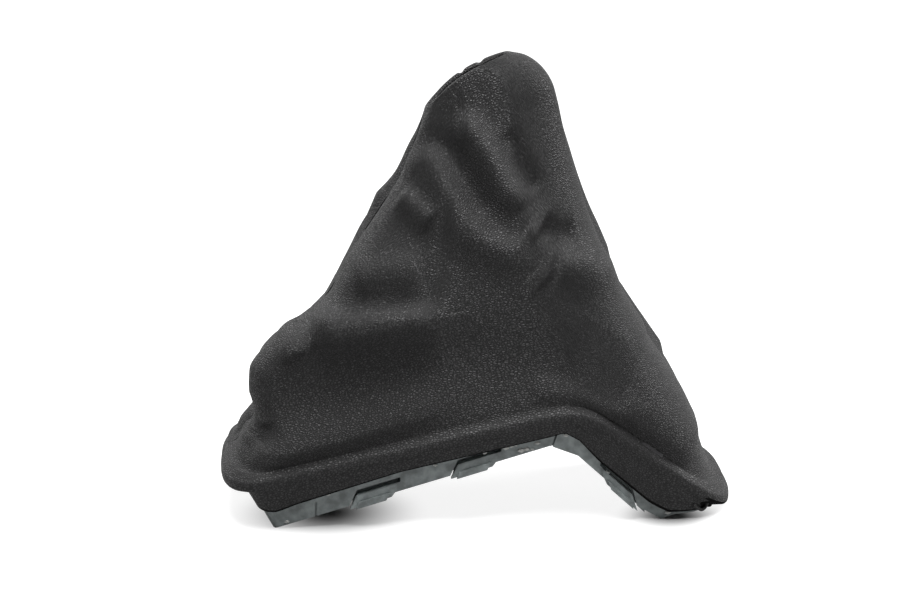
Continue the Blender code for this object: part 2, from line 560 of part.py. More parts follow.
def build_panel(name, at, ears, folds, side):
    """One side of the cover: band, face and hem as a grain-side sheet, thickened inward, seam allowances turned in."""
    steps = np.linspace(0.0, 1.0, COVER_STEPS + 1)
    face = cover_rows(at, ears, folds, steps)
    band = band_rows(at)
    rows = np.concatenate([band, face])
    rows = np.concatenate([rows, hem_rows(rows)])
    rows[:, :, 1] = np.minimum(rows[:, :, 1], 0.0) - SEAM_GAP / 2
    first, last = len(band) + 1, len(band) + len(face) - HEM_ROWS - 2
    tall, wide = rows.shape[:2]
    points = [tuple(p) for p in rows.reshape(-1, 3)]
    rising = nearer_diagonal(rows, folds)
    faces = []
    for i in range(tall - 1):
        for j in range(wide - 1):
            a, d = i * wide + j, (i + 1) * wide + j
            b, c = a + 1, d + 1
            faces += [(a, b, c), (a, c, d)] if rising[i, j] else [(a, b, d), (b, c, d)]
    for column, inward in ((0, 1.0), (wide - 1, -1.0)):
        start = len(points)
        for i in range(first + 1, last):
            x, y, z = rows[i, column]
            points.append((x + inward * SEAM_ALLOWANCE, y, z))
        for i in range(first, last):
            a, b = i * wide + column, (i + 1) * wide + column
            c, d = start + i - first, start + i - first - 1
            corner = (a, b, c) if i == first else (a, b, d) if i == last - 1 else (a, b, c, d)
            faces.append(corner if inward > 0 else tuple(reversed(corner)))
    points = np.array(points) * (1.0, 1.0 if side < 0 else -1.0, 1.0)
    if side > 0:
        faces = [tuple(reversed(face)) for face in faces]
    panel = new_object(name, points, faces, "leatherette", 0.45)
    thick = panel.modifiers.new("leather", "SOLIDIFY")
    thick.thickness = LEATHER * MM
    thick.offset = -1.0
    panel.data.shade_smooth()


def main():
    for thing in list(bpy.data.objects):
        bpy.data.objects.remove(thing)
    at = stations()
    build_frame(at)
    build_panel("left_panel", at, LEFT_EARS, LEFT_FOLDS, -1)
    build_panel("right_panel", at, RIGHT_EARS, RIGHT_FOLDS, 1)


main()
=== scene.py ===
"""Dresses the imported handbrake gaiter: grained leatherette, sewn seams, a moulded frame and a plain studio.

Run it with Blender as a script. Lengths in the tables are millimetres in the part's own frame:
+X to the rear of the car, -Y to the side nearer the camera, +Z up.
"""

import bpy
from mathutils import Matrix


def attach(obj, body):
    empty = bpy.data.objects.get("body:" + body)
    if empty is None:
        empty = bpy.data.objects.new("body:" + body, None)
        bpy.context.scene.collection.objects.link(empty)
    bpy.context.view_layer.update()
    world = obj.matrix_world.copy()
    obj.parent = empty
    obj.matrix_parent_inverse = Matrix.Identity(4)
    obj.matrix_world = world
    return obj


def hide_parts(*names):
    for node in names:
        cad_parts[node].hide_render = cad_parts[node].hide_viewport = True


bl_info = {
    "name": "Handbrake Gaiter",
    "version": (1, 0, 0),
    "blender": (4, 5, 0),
    "location": "3D View > Sidebar > Gaiter",
    "description": "Builds the leatherette cover, its seams, the frame's finish and a studio",
    "category": "Object",
}

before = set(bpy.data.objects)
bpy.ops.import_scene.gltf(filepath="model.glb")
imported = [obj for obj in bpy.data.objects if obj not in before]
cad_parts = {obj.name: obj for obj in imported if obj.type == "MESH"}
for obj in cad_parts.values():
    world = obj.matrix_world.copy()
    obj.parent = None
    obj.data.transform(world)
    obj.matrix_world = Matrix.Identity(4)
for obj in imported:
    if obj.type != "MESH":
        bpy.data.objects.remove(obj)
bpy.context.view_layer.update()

import math

import bmesh
import bpy
import numpy as np
from bpy.props import FloatProperty, FloatVectorProperty, PointerProperty
from mathutils import Vector, noise

MM = 0.001

# The frame's plan, measured at the outer edge of its lip
FRONT_REACH = 111.4
REAR_REACH = 111.4
HALF_WIDTH = 41.5
FRONT_CAP = 24.0
REAR_CAP = 33.0
FRONT_SQUARENESS = 3.1
REAR_SQUARENESS = 3.0
CROWN = 2.9

# The frame's bent side profile and its section
BEND_X = 43.0
BEND_Z = 54.0
FRONT_SLOPE = 0.218
REAR_SLOPE = 0.735
BEND_SOFTNESS = 5.0
ARCH_X = 34.8
ARCH_Z = 36.4
ARCH_FRONT_SLOPE = 0.293
ARCH_REAR_SLOPE = 0.93
FRONT_FOOT_X = -91.0
REAR_FOOT_X = 78.5
FRONT_END_RISE = 9.0
FRONT_END_REACH = 5.0
REAR_END_RISE = 2.2
REAR_END_REACH = 2.5
REAR_LIP_LEVEL = 4.6
REAR_LIP_SOFTNESS = 1.2
LIP_THICKNESS = 2.6
SIDE_LIP = 1.0
FRONT_LIP = 8.0
REAR_LIP = 6.5
FRONT_LEAN = 0.62
SIDE_LEAN = 0.08
REAR_LEAN = 0.3
SHORTEST_WALL = 0.9
FOOT_PASSES = 3
END_SHARPNESS = 6

# The cover, from its lower edge on the frame's wall up to the mouth
CLEARANCE = 0.3
SEAM_GAP = 0.04
SEAM_ALLOWANCE = 7.0
LEATHER_LOWEST = 0.8
SIDE_STAND_OFF = 0.7
SIDE_LIFT = 0.3
SHORTEST_BAND = 1.4
STRAIGHT_SHARE = 0.9
END_TUCK = 0.9
SIDE_TUCK = 0.2
BAND_ROUNDING = 1.2
CREASE_INSET = 2.6
CREASE_RISE = 1.6
RIDGE_ROUNDING = 2.6
MOUTH_ARCH = 2.8
MOUTH_HALF_WIDTH = 7.6
MOUTH_SQUARENESS = 2.6
HEM_DEPTH = 9.0

# How the folds fade: millimetres from a seam, and shares of the way up at the frame and below the mouth
SEAM_FADE = 9.0
FRAME_FADE = 0.085
MOUTH_FADE = 0.1
MOUTH_CLEAR = 0.06

# How a fold fades along its crest, as shares of the crest: how far past its ends, and over what length
CREST_LEAD = 0.08
CREST_FADE = 0.25

# A crest with less run than this share of its rise is steep, and the side on its left counts as above
STEEP_CREST = 0.5

# The lower edge of the leatherette on the frame's wall: along the length, height
LEATHER_EDGE = ((-113, 9.5), (-97, 8.0), (-88, 8.2), (-80, 11.4), (-35, 25.2), (7, 34.4), (30, 39.6),
                (35.5, 41.2), (42, 37.4), (51, 27.4), (73, 8.2), (81, 3.8), (114, 3.4))

# The front and rear seams seen from the side: along the length, height
FRONT_SEAM = ((-107.5, 27.0), (-103.5, 30.5), (-99.3, 35.0), (-95.8, 41.0), (-94.8, 50.0), (-95.6, 60.0),
              (-94.8, 68.0), (-90.0, 74.5), (-82.0, 80.5), (-73.0, 87.0), (-66.0, 92.5), (-62.6, 97.0),
              (-56.4, 107.5), (-47.6, 121.3), (-39.0, 134.0), (-32.2, 144.1), (-27.8, 155.0), (-24.3, 165.9),
              (-21.8, 175.5))
REAR_SEAM = ((106.0, 13.5), (102.4, 20.0), (99.8, 27.0), (98.2, 33.0), (95.2, 41.0), (91.0, 51.0),
             (83.6, 63.0), (76.0, 74.0), (67.8, 86.0), (61.0, 97.0), (57.0, 107.5), (52.0, 121.0),
             (47.6, 132.0), (43.0, 146.0), (40.0, 157.0), (37.0, 169.0), (35.0, 179.0), (32.6, 187.0),
             (28.0, 193.4), (21.6, 197.8), (14.6, 199.4))

# How the cover narrows from the frame to the mouth: share of the way up, share of the narrowing
TAPER = ((0.0, 0.0), (0.04, 0.02), (0.16, 0.09), (0.34, 0.19), (0.46, 0.29), (0.56, 0.4), (0.7, 0.61),
         (0.85, 0.83), (1.0, 1.0))

# The swelling of a panel beside its front and its rear seam: share of the way up, its move along the length
# and upward, the distance from the seam over which it rises, and how far it reaches
LEFT_EARS = (
    ((0.0, 0.0, 0.0, 9.0, 40.0), (0.07, 0.0, 0.0, 12.0, 40.0), (0.13, -5.0, 0.0, 14.0, 45.0),
     (0.2, -7.5, 0.0, 13.0, 50.0), (0.26, -7.0, 1.0, 13.0, 50.0), (0.31, -3.0, 4.0, 12.0, 60.0),
     (0.36, 0.5, 4.2, 12.0, 60.0), (0.42, 1.5, 3.4, 10.0, 50.0), (0.47, 0.5, 2.5, 9.0, 50.0),
     (0.51, -1.0, 1.0, 7.0, 40.0), (0.58, -2.4, 0.0, 5.0, 30.0), (0.8, -3.0, 0.0, 5.0, 24.0),
     (0.94, -2.0, 0.0, 5.0, 20.0), (1.0, 0.0, 0.0, 5.0, 20.0)),
    ((0.0, 0.0, 0.0, 9.0, 40.0), (0.1, -1.0, 0.0, 9.0, 40.0), (0.3, -0.4, 0.0, 9.0, 40.0),
     (0.4, -1.0, 0.0, 9.0, 30.0), (0.52, 0.0, 0.0, 8.0, 30.0), (0.7, 1.5, 0.0, 6.0, 25.0),
     (0.9, 0.5, 0.0, 6.0, 20.0), (1.0, 0.0, 0.0, 6.0, 20.0)),
)
RIGHT_EARS = (
    ((0.0, 0.0, 0.0, 9.0, 40.0), (0.03, -2.2, 0.0, 7.0, 40.0), (0.07, -4.4, 0.0, 7.0, 36.0),
     (0.1, -3.2, 0.0, 8.0, 36.0), (0.14, 0.0, -1.0, 11.0, 40.0), (0.2, -3.5, -3.0, 13.0, 45.0),
     (0.3, 1.0, -6.0, 12.0, 45.0), (0.38, 1.0, -7.0, 12.0, 45.0), (0.46, 0.0, -5.0, 9.0, 40.0),
     (0.52, -1.0, -1.0, 8.0, 30.0), (0.6, -1.6, 0.0, 6.0, 30.0), (0.7, -3.2, 0.0, 5.5, 28.0),
     (0.765, -7.0, 0.5, 5.5, 26.0), (0.83, -5.0, 0.0, 5.5, 24.0), (0.9, -3.4, 0.0, 5.0, 20.0),
     (1.0, 0.0, 0.0, 5.0, 20.0)),
    ((0.0, 0.0, 0.0, 9.0, 40.0), (0.1, 0.0, 0.0, 9.0, 40.0), (0.3, -0.4, 0.0, 9.0, 40.0),
     (0.42, 2.4, 0.0, 9.0, 40.0), (0.53, 6.0, 0.0, 8.0, 35.0), (0.62, 4.4, 0.0, 7.0, 30.0),
     (0.75, 3.0, 0.0, 6.0, 25.0), (0.9, 0.8, 0.0, 6.0, 20.0), (1.0, 0.0, 0.0, 6.0, 20.0)),
)

# Folds of the left panel: height, half width above and below the crest, and the crest seen from the side
LEFT_FOLDS = (
    (4.0, 11.5, 9.5, ((-106, 26), (-94, 29), (-78, 34), (-57, 41), (-36, 49), (-14, 58))),
    (-3.4, 21.0, 15.0, ((-100, 55), (-78, 58), (-57, 61), (-36, 65), (-16, 70))),
    (-2.6, 20.0, 14.0, ((-16, 70), (8, 70), (30, 68), (46, 62))),
    (3.0, 7.0, 8.0, ((22, 62), (32, 58), (46, 50), (60, 43))),
    (3.2, 12.0, 9.0, ((58, 54), (70, 47), (82, 38), (94, 27))),
    (-2.6, 4.5, 4.5, ((-94, 45), (-92.5, 41), (-95, 36))),
    (2.4, 1.8, 1.8, ((-99, 42), (-97.5, 38), (-99, 34.5), (-101.5, 31.5), (-104, 27))),
    (7.0, 5.4, 10.5, ((-72, 86), (-56, 88), (-43, 89), (-30, 90), (-18, 92))),
    (3.4, 8.0, 10.0, ((-54, 107), (-44, 109), (-34, 110), (-24, 111))),
    (5.4, 6.0, 7.0, ((-10, 180), (-3, 169), (5, 157), (11, 146), (18, 135))),
    (-2.2, 5.5, 6.0, ((-24, 176), (-19, 166), (-11, 155), (-4, 144), (4, 134))),
    (4.8, 6.0, 9.0, ((-24, 164), (-18, 153), (-13, 143), (-7, 131), (1, 123), (12, 119), (22, 122))),
    (-2.0, 4.5, 4.5, ((11, 168), (17, 155), (25, 143))),
    (2.0, 6.0, 6.0, ((20, 129), (25, 126))),
    (-2.4, 5.5, 5.5, ((26, 129), (34, 125), (42, 126))),
    (3.0, 7.0, 8.0, ((32, 113), (40, 111), (50, 110))),
    (1.4, 7.0, 8.0, ((22, 110), (27, 105))),
    (3.4, 5.0, 6.0, ((-33, 141), (-26, 135), (-20, 130))),
    (2.4, 6.0, 6.0, ((-86, 90), (-84, 84), (-79, 74))),
    (3.0, 8.0, 8.0, ((48, 112), (60, 98), (76, 76))),
)
# Folds of the right panel, in the same order of values
RIGHT_FOLDS = (
    (5.6, 14.0, 9.0, ((-96, 33), (-70, 40), (-40, 46), (-5, 52), (38, 58))),
    (4.0, 12.0, 9.0, ((54, 54), (70, 44), (94, 24))),
    (5.6, 8.0, 13.0, ((-60, 86), (-38, 82), (-12, 86), (12, 98))),
    (4.6, 8.0, 9.0, ((-20, 170), (-14, 150), (-2, 134), (16, 122))),
    (-4.0, 7.5, 7.5, ((-8, 176), (2, 156), (12, 140), (22, 130))),
    (4.2, 8.0, 9.0, ((20, 168), (26, 146), (32, 120), (44, 98))),
    (4.2, 11.0, 10.0, ((-44, 120), (-30, 112), (-12, 110))),
    (3.4, 8.0, 9.0, ((56, 92), (68, 78), (84, 60))),
)

# Small creases of the left panel's band at the front corner, in the same order of values as the folds
BAND_FOLDS = (
    (0.8, 1.1, 1.1, ((-86, 20), (-84, 16), (-83.6, 11))),
    (0.7, 1.0, 1.0, ((-83, 20), (-81, 16), (-80.4, 12))),
    (0.5, 1.0, 1.0, ((-79.6, 19), (-78, 16), (-77.6, 13))),
)

# Small notches in the far panel's rim at the mouth: along the length, depth, half width
RIM_NOTCHES = ((-5.6, 1.5, 1.0), (2.4, 1.1, 1.2))
RIM_REACH = 3.0

# The front seam's valley, painted black as shade: how far it reaches onto the left and the right panel, the
# height at which it starts, and how many rows below the mouth it ends
VALLEY_REACH = (0.8, 2.0)
VALLEY_FOOT = 92.0
VALLEY_ROWS_BELOW_MOUTH = 3

# The seam's lockstitches, set inside on the allowances
STITCH_PITCH = 4.0
STITCH_LENGTH = 3.2
THREAD_RADIUS = 0.3
THREAD_SIDES = 8
STITCH_FROM_SEAM = 4.2
STITCHED_ROWS = slice(6, -20)

# One stitch: share of its length, and how many thread radii its middle line lies off the leatherette
STITCH_PROFILE = ((0.0, -0.6), (0.12, 0.5), (0.5, 1.0), (0.88, 0.5), (1.0, -0.6))

# The radius at the ends of a bar, as a share of its own
TIP_SHARE = 0.5

# Beads of glue on the frame's left wall below the leatherette: place along the length, height and size
GLUE_BEADS = ((1.3, 32.6, 0.8), (10.4, 34.6, 1.0), (12.6, 35.2, 0.8), (14.6, 35.6, 0.6),
              (17.0, 33.2, 1.2), (19.4, 33.8, 1.0), (21.6, 33.4, 0.7), (24.0, 36.4, 0.9),
              (36.2, 39.8, 1.0), (54.4, 22.0, 1.0), (81.4, 3.0, 1.1), (-84.0, 3.0, 0.8),
              (-66.0, 15.2, 0.7), (-20.0, 27.4, 0.7))

# A bead's half sizes along the length, across and up as shares of its size; its lumps; its distance off
# the wall
BEAD_SHAPE = (1.25, 0.6, 0.8)
BEAD_LUMP_HEIGHT = 0.45
BEAD_LUMPS_PER_RADIUS = 1.6
BEAD_OFFSET = 0.02
BEAD_SUBDIVISIONS = 3

# The rolled edge of spare leatherette below the rear corner of the left panel
TUCK = ((92.4, -40.4, 6.6), (93.8, -39.7, 5.4), (96.7, -38.0, 3.6), (98.6, -36.6, 4.8), (99.4, -36.0, 6.8),
        (102.3, -33.4, 6.6))
TUCK_RADIUS = 0.75
TUCK_STEPS = 40
TUCK_SIDES = 12

# The hollow under the lip at the rear corner, painted black as shade: how far along the length it starts and
# its top
HOLLOW_X = 95.5
HOLLOW_Z = 9.5

# How finely the cover is divided: columns and rows of the face, rows of the band, and angles of its turns
COVER_COLUMNS = 190
COVER_STEPS = 190
BAND_STEPS = 14
UNDER_LIP_ANGLES = (30.0, 60.0)
RIDGE_ANGLES = (0.0, 15.0, 30.0, 45.0, 60.0)
HEM_ANGLES = (20.0, 45.0, 70.0, 90.0, 110.0, 135.0, 160.0)

# How finely the outline is sampled; the columns are spaced by its length and its turning, weighed by these
OUTLINE_SAMPLES = 2401
STATION_STEP = 9.0
STATION_TURN = 0.3

# The seam allowances start and end this many rows from the frame and from the mouth
ALLOWANCE_ROWS_FROM_FRAME = 4
ALLOWANCE_ROWS_FROM_MOUTH = 14

# The share of the grain's depth left on the band, and the rows over which it grows back above the ridge
BAND_GRAIN = 0.6
GRAIN_ROWS = 8

# Painted shade: how light the skin stays at its cut edge, near black for the gap's shadow, and on the band
# under the lip
EDGE_SHADE = 0.02
BAND_SHADE = 0.9

# How the pebbles of the grain are drawn out: their number along and across for one pitch
PEBBLE_SHAPE = (0.8, 1.2, 1.0)

# How the pebbles wander off their rows, in pitches, and how finely; then the fine wrinkles on top of them
WANDER_REACH = 0.9
WANDER_SCALE = 0.6
WRINKLE_SCALE = 2.2
WRINKLE_SHARE = 0.25

# Scales of the wave textures, which repeat about every 11 mm in the knit and 6 mm in the thread's twist
KNIT_SCALE = 55.56
TWIST_SCALE = 100.0

# How much of the white floor and surroundings the surfaces mirror
GLOSSY_SHARE = 0.15

# The floor: half its width in metres, and its whiteness to the camera near the part and farther away
FLOOR_HALF = 6.0
NEAR_WHITENESS = 0.88
NEAR_REACH = 100.0
FAR_REACH = 400.0

# Dark spots painted into the floor's white round the feet, over their real shadow: middle on the floor, how
# far they stay dark and where they end
FOOT_SHADOWS = (((-66.0, -21.0, 0.0), 2.0, 46.0), ((84.0, -36.0, 0.0), 3.0, 26.0))

# The soft boxes: place and size
TOP_BOX = ((40.0, -120.0, 1150.0), 850.0)
REAR_BOX = ((900.0, 380.0, 700.0), 600.0)
RIM_BOX = ((-520.0, 800.0, 480.0), 500.0)

# The camera that took the photograph, with its angles in degrees, and how far it sees in metres
LENS = 85.0
SENSOR = 36.0
CAMERA_DISTANCE = 955.7
CAMERA_ELEVATION = 15.0
CAMERA_AZIMUTH = -4.0
CAMERA_TARGET = (-6.6, 0.0, 87.0)
CAMERA_SIGHT = 20.0


def linear(hex_colour):
    """The linear RGBA of an sRGB hex colour."""
    channels = [int(hex_colour[i:i + 2], 16) / 255 for i in (1, 3, 5)]
    return [c / 12.92 if c <= 0.04045 else ((c + 0.055) / 1.055) ** 2.4 for c in channels] + [1.0]


def ease(t):
    """A smooth rise from 0 to 1 as t goes from 0 to 1."""
    t = np.clip(t, 0.0, 1.0)
    return t * t * (3.0 - 2.0 * t)


def flow(points, at):
    """Points of a smooth curve through the given ones, with at from 0 to 1 along it."""
    points = np.array(points, float)
    along = np.concatenate([[0.0], np.cumsum(np.linalg.norm(np.diff(points, axis=0), axis=1))])
    along /= along[-1]
    slopes = np.gradient(points, along, axis=0)
    at = np.asarray(at, float)
    left = np.clip(np.searchsorted(along, at, side="right") - 1, 0, len(along) - 2)
    width = (along[left + 1] - along[left])[..., None]
    t = (at[..., None] - along[left][..., None]) / width
    return ((2 * t**3 - 3 * t**2 + 1) * points[left] + (t**3 - 2 * t**2 + t) * width * slopes[left]
            + (3 * t**2 - 2 * t**3) * points[left + 1] + (t**3 - t**2) * width * slopes[left + 1])


def table(rows, at, column=1):
    """The value of a table at a place, on straight lines between its rows."""
    rows = np.array(rows, float)
    return np.interp(at, rows[:, 0], rows[:, column])


def plan(at, front_inset=0.0, side_inset=0.0, rear_inset=0.0):
    """The left half of an outline round the frame, inset from the lip's outer edge.

    at runs from 0 in the front middle to 1 at the front corner, 2 at the rear corner and 3 in the rear
    middle.
    """
    front_angle = np.clip(at, 0.0, 1.0) * np.pi / 2
    rear_angle = np.clip(3.0 - at, 0.0, 1.0) * np.pi / 2
    front_share = np.cos(front_angle) ** (2 / FRONT_SQUARENESS)
    rear_share = np.cos(rear_angle) ** (2 / REAR_SQUARENESS)
    front_x = -(FRONT_REACH - FRONT_CAP) - (FRONT_CAP - front_inset) * front_share
    rear_x = REAR_REACH - REAR_CAP + (REAR_CAP - rear_inset) * rear_share
    side = np.clip(at - 1.0, 0.0, 1.0)
    x = (1.0 - side) * front_x + side * rear_x
    out = np.where(at < 1.5, np.sin(front_angle) ** (2 / FRONT_SQUARENESS),
                   np.sin(rear_angle) ** (2 / REAR_SQUARENESS))
    return np.stack([x, -(HALF_WIDTH - side_inset) * out], axis=1)


def stations(count):
    """Places along the left half of the outline, closer together where it curves."""
    fine = np.linspace(0.0, 3.0, OUTLINE_SAMPLES)
    line = plan(fine)
    step = np.diff(line, axis=0)
    length = np.hypot(step[:, 0], step[:, 1])
    heading = np.unwrap(np.arctan2(step[:, 1], step[:, 0]))
    turning = np.abs(np.diff(heading, prepend=heading[0]))
    cost = np.concatenate([[0.0], np.cumsum(length / STATION_STEP + turning / STATION_TURN)])
    return np.interp(np.linspace(0.0, cost[-1], count), cost, fine)


def endness(at):
    """1 across the ends of the frame and 0 along its sides."""
    return 1.0 - (np.abs(plan(at)[:, 1]) / HALF_WIDTH) ** END_SHARPNESS


def ridge_height(x, y):
    """The height of the frame's top edge, which is bent along the part and crowned across it."""
    front = BEND_Z + FRONT_SLOPE * (x - BEND_X)
    rear = BEND_Z - REAR_SLOPE * (x - BEND_X)
    bent = -BEND_SOFTNESS * np.logaddexp(-front / BEND_SOFTNESS, -rear / BEND_SOFTNESS)
    bent = REAR_LIP_SOFTNESS * np.logaddexp(bent / REAR_LIP_SOFTNESS, REAR_LIP_LEVEL / REAR_LIP_SOFTNESS)
    return bent + CROWN * (1.0 - np.clip(np.abs(y) / HALF_WIDTH, 0.0, 1.0) ** 2)


def wall_foot(x):
    """The height of the wall's lower edge: an arch between two feet, with shorter end walls."""
    arch = np.minimum(ARCH_Z + ARCH_FRONT_SLOPE * (x - ARCH_X), ARCH_Z - ARCH_REAR_SLOPE * (x - ARCH_X))
    return (np.maximum(arch, 0.0) + FRONT_END_RISE * ease((FRONT_FOOT_X - x) / FRONT_END_REACH)
            + REAR_END_RISE * ease((x - REAR_FOOT_X) / REAR_END_REACH))


def wall_insets(drop, more=0.0):
    """Insets of the wall's outer face, at the front, sides and rear, at a drop below the lip."""
    return (FRONT_LIP + FRONT_LEAN * drop + more * np.hypot(1.0, FRONT_LEAN),
            SIDE_LIP + SIDE_LEAN * drop + more * np.hypot(1.0, SIDE_LEAN),
            REAR_LIP + REAR_LEAN * drop + more * np.hypot(1.0, REAR_LEAN))


def frame_levels(at, leather):
    """The heights of the frame's top, the underside of its lip and the foot of its wall."""
    line = plan(at)
    top = ridge_height(line[:, 0], line[:, 1]) - leather - CLEARANCE
    under_lip = top - LIP_THICKNESS
    foot = wall_foot(line[:, 0])
    for _ in range(FOOT_PASSES):
        foot = wall_foot(plan(at, *wall_insets(under_lip - foot))[:, 0])
    return top, under_lip, np.minimum(foot, under_lip - SHORTEST_WALL)


def ring(at, insets, height):
    """Points all along the left half of the frame at an inset and a height."""
    line = plan(at, *insets)
    return np.concatenate([line, np.broadcast_to(height, len(line))[:, None]], axis=1)


def fold_relief(folds, x, z):
    """How far the folds push the cover out at places seen from the side."""
    total = np.zeros_like(x)
    for height, above, below, crest in folds:
        crest = np.array(crest, float)
        lengths = np.linalg.norm(np.diff(crest, axis=0), axis=1)
        starts = np.concatenate([[0.0], np.cumsum(lengths)])
        best = np.full(x.shape, np.inf)
        signed = np.zeros_like(x)
        share = np.zeros_like(x)
        for k, length in enumerate(lengths):
            step = (crest[k + 1] - crest[k]) / length
            dx, dz = x - crest[k, 0], z - crest[k, 1]
            along = np.clip(dx * step[0] + dz * step[1], 0.0, length)
            off_x, off_z = dx - along * step[0], dz - along * step[1]
            gap = np.hypot(off_x, off_z)
            nearer = gap < best
            best = np.where(nearer, gap, best)
            upward = step[0] if abs(step[0]) > abs(step[1]) * STEEP_CREST else 1.0
            side = np.sign(upward) * (step[0] * off_z - step[1] * off_x)
            signed = np.where(nearer, side, signed)
            share = np.where(nearer, (starts[k] + along) / starts[-1], share)
        width = np.where(signed > 0, above, below)
        fade = ease((share + CREST_LEAD) / CREST_FADE) * ease((1.0 + CREST_LEAD - share) / CREST_FADE)
        total += height * fade * np.exp(-((best / width) ** 2))
    return total


def mouth_line(share):
    """The mouth's outer edge: a slanted, slightly arched oval, from its front to its rear end."""
    angle = np.pi * share
    share_x = 0.5 - 0.5 * np.sign(np.cos(angle)) * np.abs(np.cos(angle)) ** (2 / MOUTH_SQUARENESS)
    share_y = np.abs(np.sin(angle)) ** (2 / MOUTH_SQUARENESS)
    share_y[-1] = 0.0
    front, rear = np.array(FRONT_SEAM[-1]), np.array(REAR_SEAM[-1])
    chord = rear - front
    up = np.array((-chord[1], chord[0])) / np.linalg.norm(chord)
    arch = MOUTH_ARCH * (1.0 - (2.0 * share_x - 1.0) ** 2)
    side_view = front + share_x[:, None] * chord + arch[:, None] * up
    return side_view[:, 0], side_view[:, 1], -MOUTH_HALF_WIDTH * share_y


def grid_normals(rows):
    """Outward normals of a grid of points whose columns run rearward on the left side."""
    across = np.gradient(rows, axis=1)
    upward = np.gradient(rows, axis=0)
    normals = np.cross(across, upward)
    return normals / np.maximum(np.linalg.norm(normals, axis=2), 1e-9)[:, :, None]


def cover_rows(at, ears, folds, steps, leather, strength):
    """The cover's face from the crease above the frame to the mouth: one row of points for each step up."""
    line = plan(at)
    cover = leather + CLEARANCE
    crease = plan(at, CREASE_INSET - cover, CREASE_INSET - cover, CREASE_INSET - cover)
    crease_z = ridge_height(line[:, 0], line[:, 1]) + CREASE_RISE * (1.0 + endness(at))
    share_x = (crease[:, 0] - crease[0, 0]) / (crease[-1, 0] - crease[0, 0])
    mouth_x, mouth_z, mouth_y = mouth_line(np.linspace(0.0, 1.0, len(at)))
    front = flow(((crease[0, 0], crease_z[0]),) + FRONT_SEAM, steps)
    rear = flow(((crease[-1, 0], crease_z[-1]),) + REAR_SEAM, steps)
    rows = []
    for k, v in enumerate(steps):
        corners = [(1 - v) * np.array((crease[i, 0], crease_z[i])) + v * np.array((mouth_x[i], mouth_z[i]))
                   for i in (0, -1)]
        x = (1 - v) * crease[:, 0] + v * mouth_x
        z = (1 - v) * crease_z + v * mouth_z
        x += (1 - share_x) * (front[k, 0] - corners[0][0]) + share_x * (rear[k, 0] - corners[1][0])
        z += (1 - share_x) * (front[k, 1] - corners[0][1]) + share_x * (rear[k, 1] - corners[1][1])
        narrowing = table(TAPER, v)
        y = (1 - narrowing) * crease[:, 1] + narrowing * mouth_y
        row = np.stack([x, y, z], axis=1)
        lengths = np.linalg.norm(np.diff(row, axis=0), axis=1)
        along = np.concatenate([[0.0], np.cumsum(lengths)])
        for ear, gap in ((ears[0], along), (ears[1], along[-1] - along)):
            forward, up, rise, reach = (table(ear, v, column) for column in (1, 2, 3, 4))
            swell = (1.0 - np.exp(-((gap / rise) ** 2))) * np.exp(-((gap / reach) ** 2))
            row[:, 0] += forward * swell
            row[:, 2] += up * swell
        rows.append(row)
    rows = np.array(rows)
    relief = strength * fold_relief(folds, rows[:, :, 0], rows[:, :, 2])
    off_seam = ease(np.abs(rows[:, :, 1]) / SEAM_FADE)
    off_frame = ease(steps / FRAME_FADE)[:, None]
    off_mouth = ease((1.0 - MOUTH_CLEAR - steps) / MOUTH_FADE)[:, None]
    rows += grid_normals(rows) * (relief * off_seam * off_frame * off_mouth)[:, :, None]
    return rows


def band_rows(at, leather):
    """The strip of the cover that wraps over the lip and down the frame's wall, from its lower edge up."""
    top, under_lip, foot = frame_levels(at, leather)
    cover = leather + CLEARANCE
    under = under_lip - cover + SIDE_LIFT * (1.0 - endness(at))
    edge = table(LEATHER_EDGE, plan(at, *wall_insets(under_lip - foot))[:, 0])
    edge = np.maximum(np.minimum(edge, under - SHORTEST_BAND), LEATHER_LOWEST)
    rows = []
    for share in np.linspace(0.0, STRAIGHT_SHARE, BAND_STEPS):
        height = edge + share * (under - edge)
        front, side, rear = wall_insets(under_lip - height, -cover)
        side -= SIDE_STAND_OFF * ease(share / STRAIGHT_SHARE)
        rows.append(ring(at, (front, side, rear), height))
    rows.append(ring(at, (END_TUCK - cover, SIDE_TUCK - cover, END_TUCK - cover), under))
    for angle in np.radians(UNDER_LIP_ANGLES):
        reach = 1.0 - np.sin(angle)
        inset = BAND_ROUNDING * reach - cover
        height = under + BAND_ROUNDING * (1.0 - np.cos(angle))
        rows.append(ring(at, (inset, SIDE_TUCK * reach - cover, inset), height))
    rows.append(ring(at, (-cover, -cover, -cover), under + BAND_ROUNDING))
    for angle in np.radians(RIDGE_ANGLES):
        inset = RIDGE_ROUNDING * (1.0 - np.cos(angle)) - cover
        height = top + cover - RIDGE_ROUNDING * (1.0 - np.sin(angle))
        rows.append(ring(at, (inset, inset, inset), height))
    return np.array(rows)


def hem_rows(rows, leather):
    """The hem at the mouth: the cover turns in over itself and runs back down inside."""
    normals = grid_normals(rows)
    rim, outward = rows[-1], normals[-1]
    up = rim - rows[-2]
    up -= outward * (outward * up).sum(1)[:, None]
    up /= np.linalg.norm(up, axis=1)[:, None]
    radius = leather + CLEARANCE / 2
    turn = [rim + outward * radius * (np.cos(angle) - 1.0) + up * radius * np.sin(angle)
            for angle in np.radians(HEM_ANGLES)]
    heights = np.linalg.norm(rows[-1] - rows, axis=2).mean(axis=1)
    count = int((heights < HEM_DEPTH).sum())
    back = [rows[-1 - k] - 2.0 * radius * normals[-1 - k] for k in range(count)]
    return np.array(turn + back)


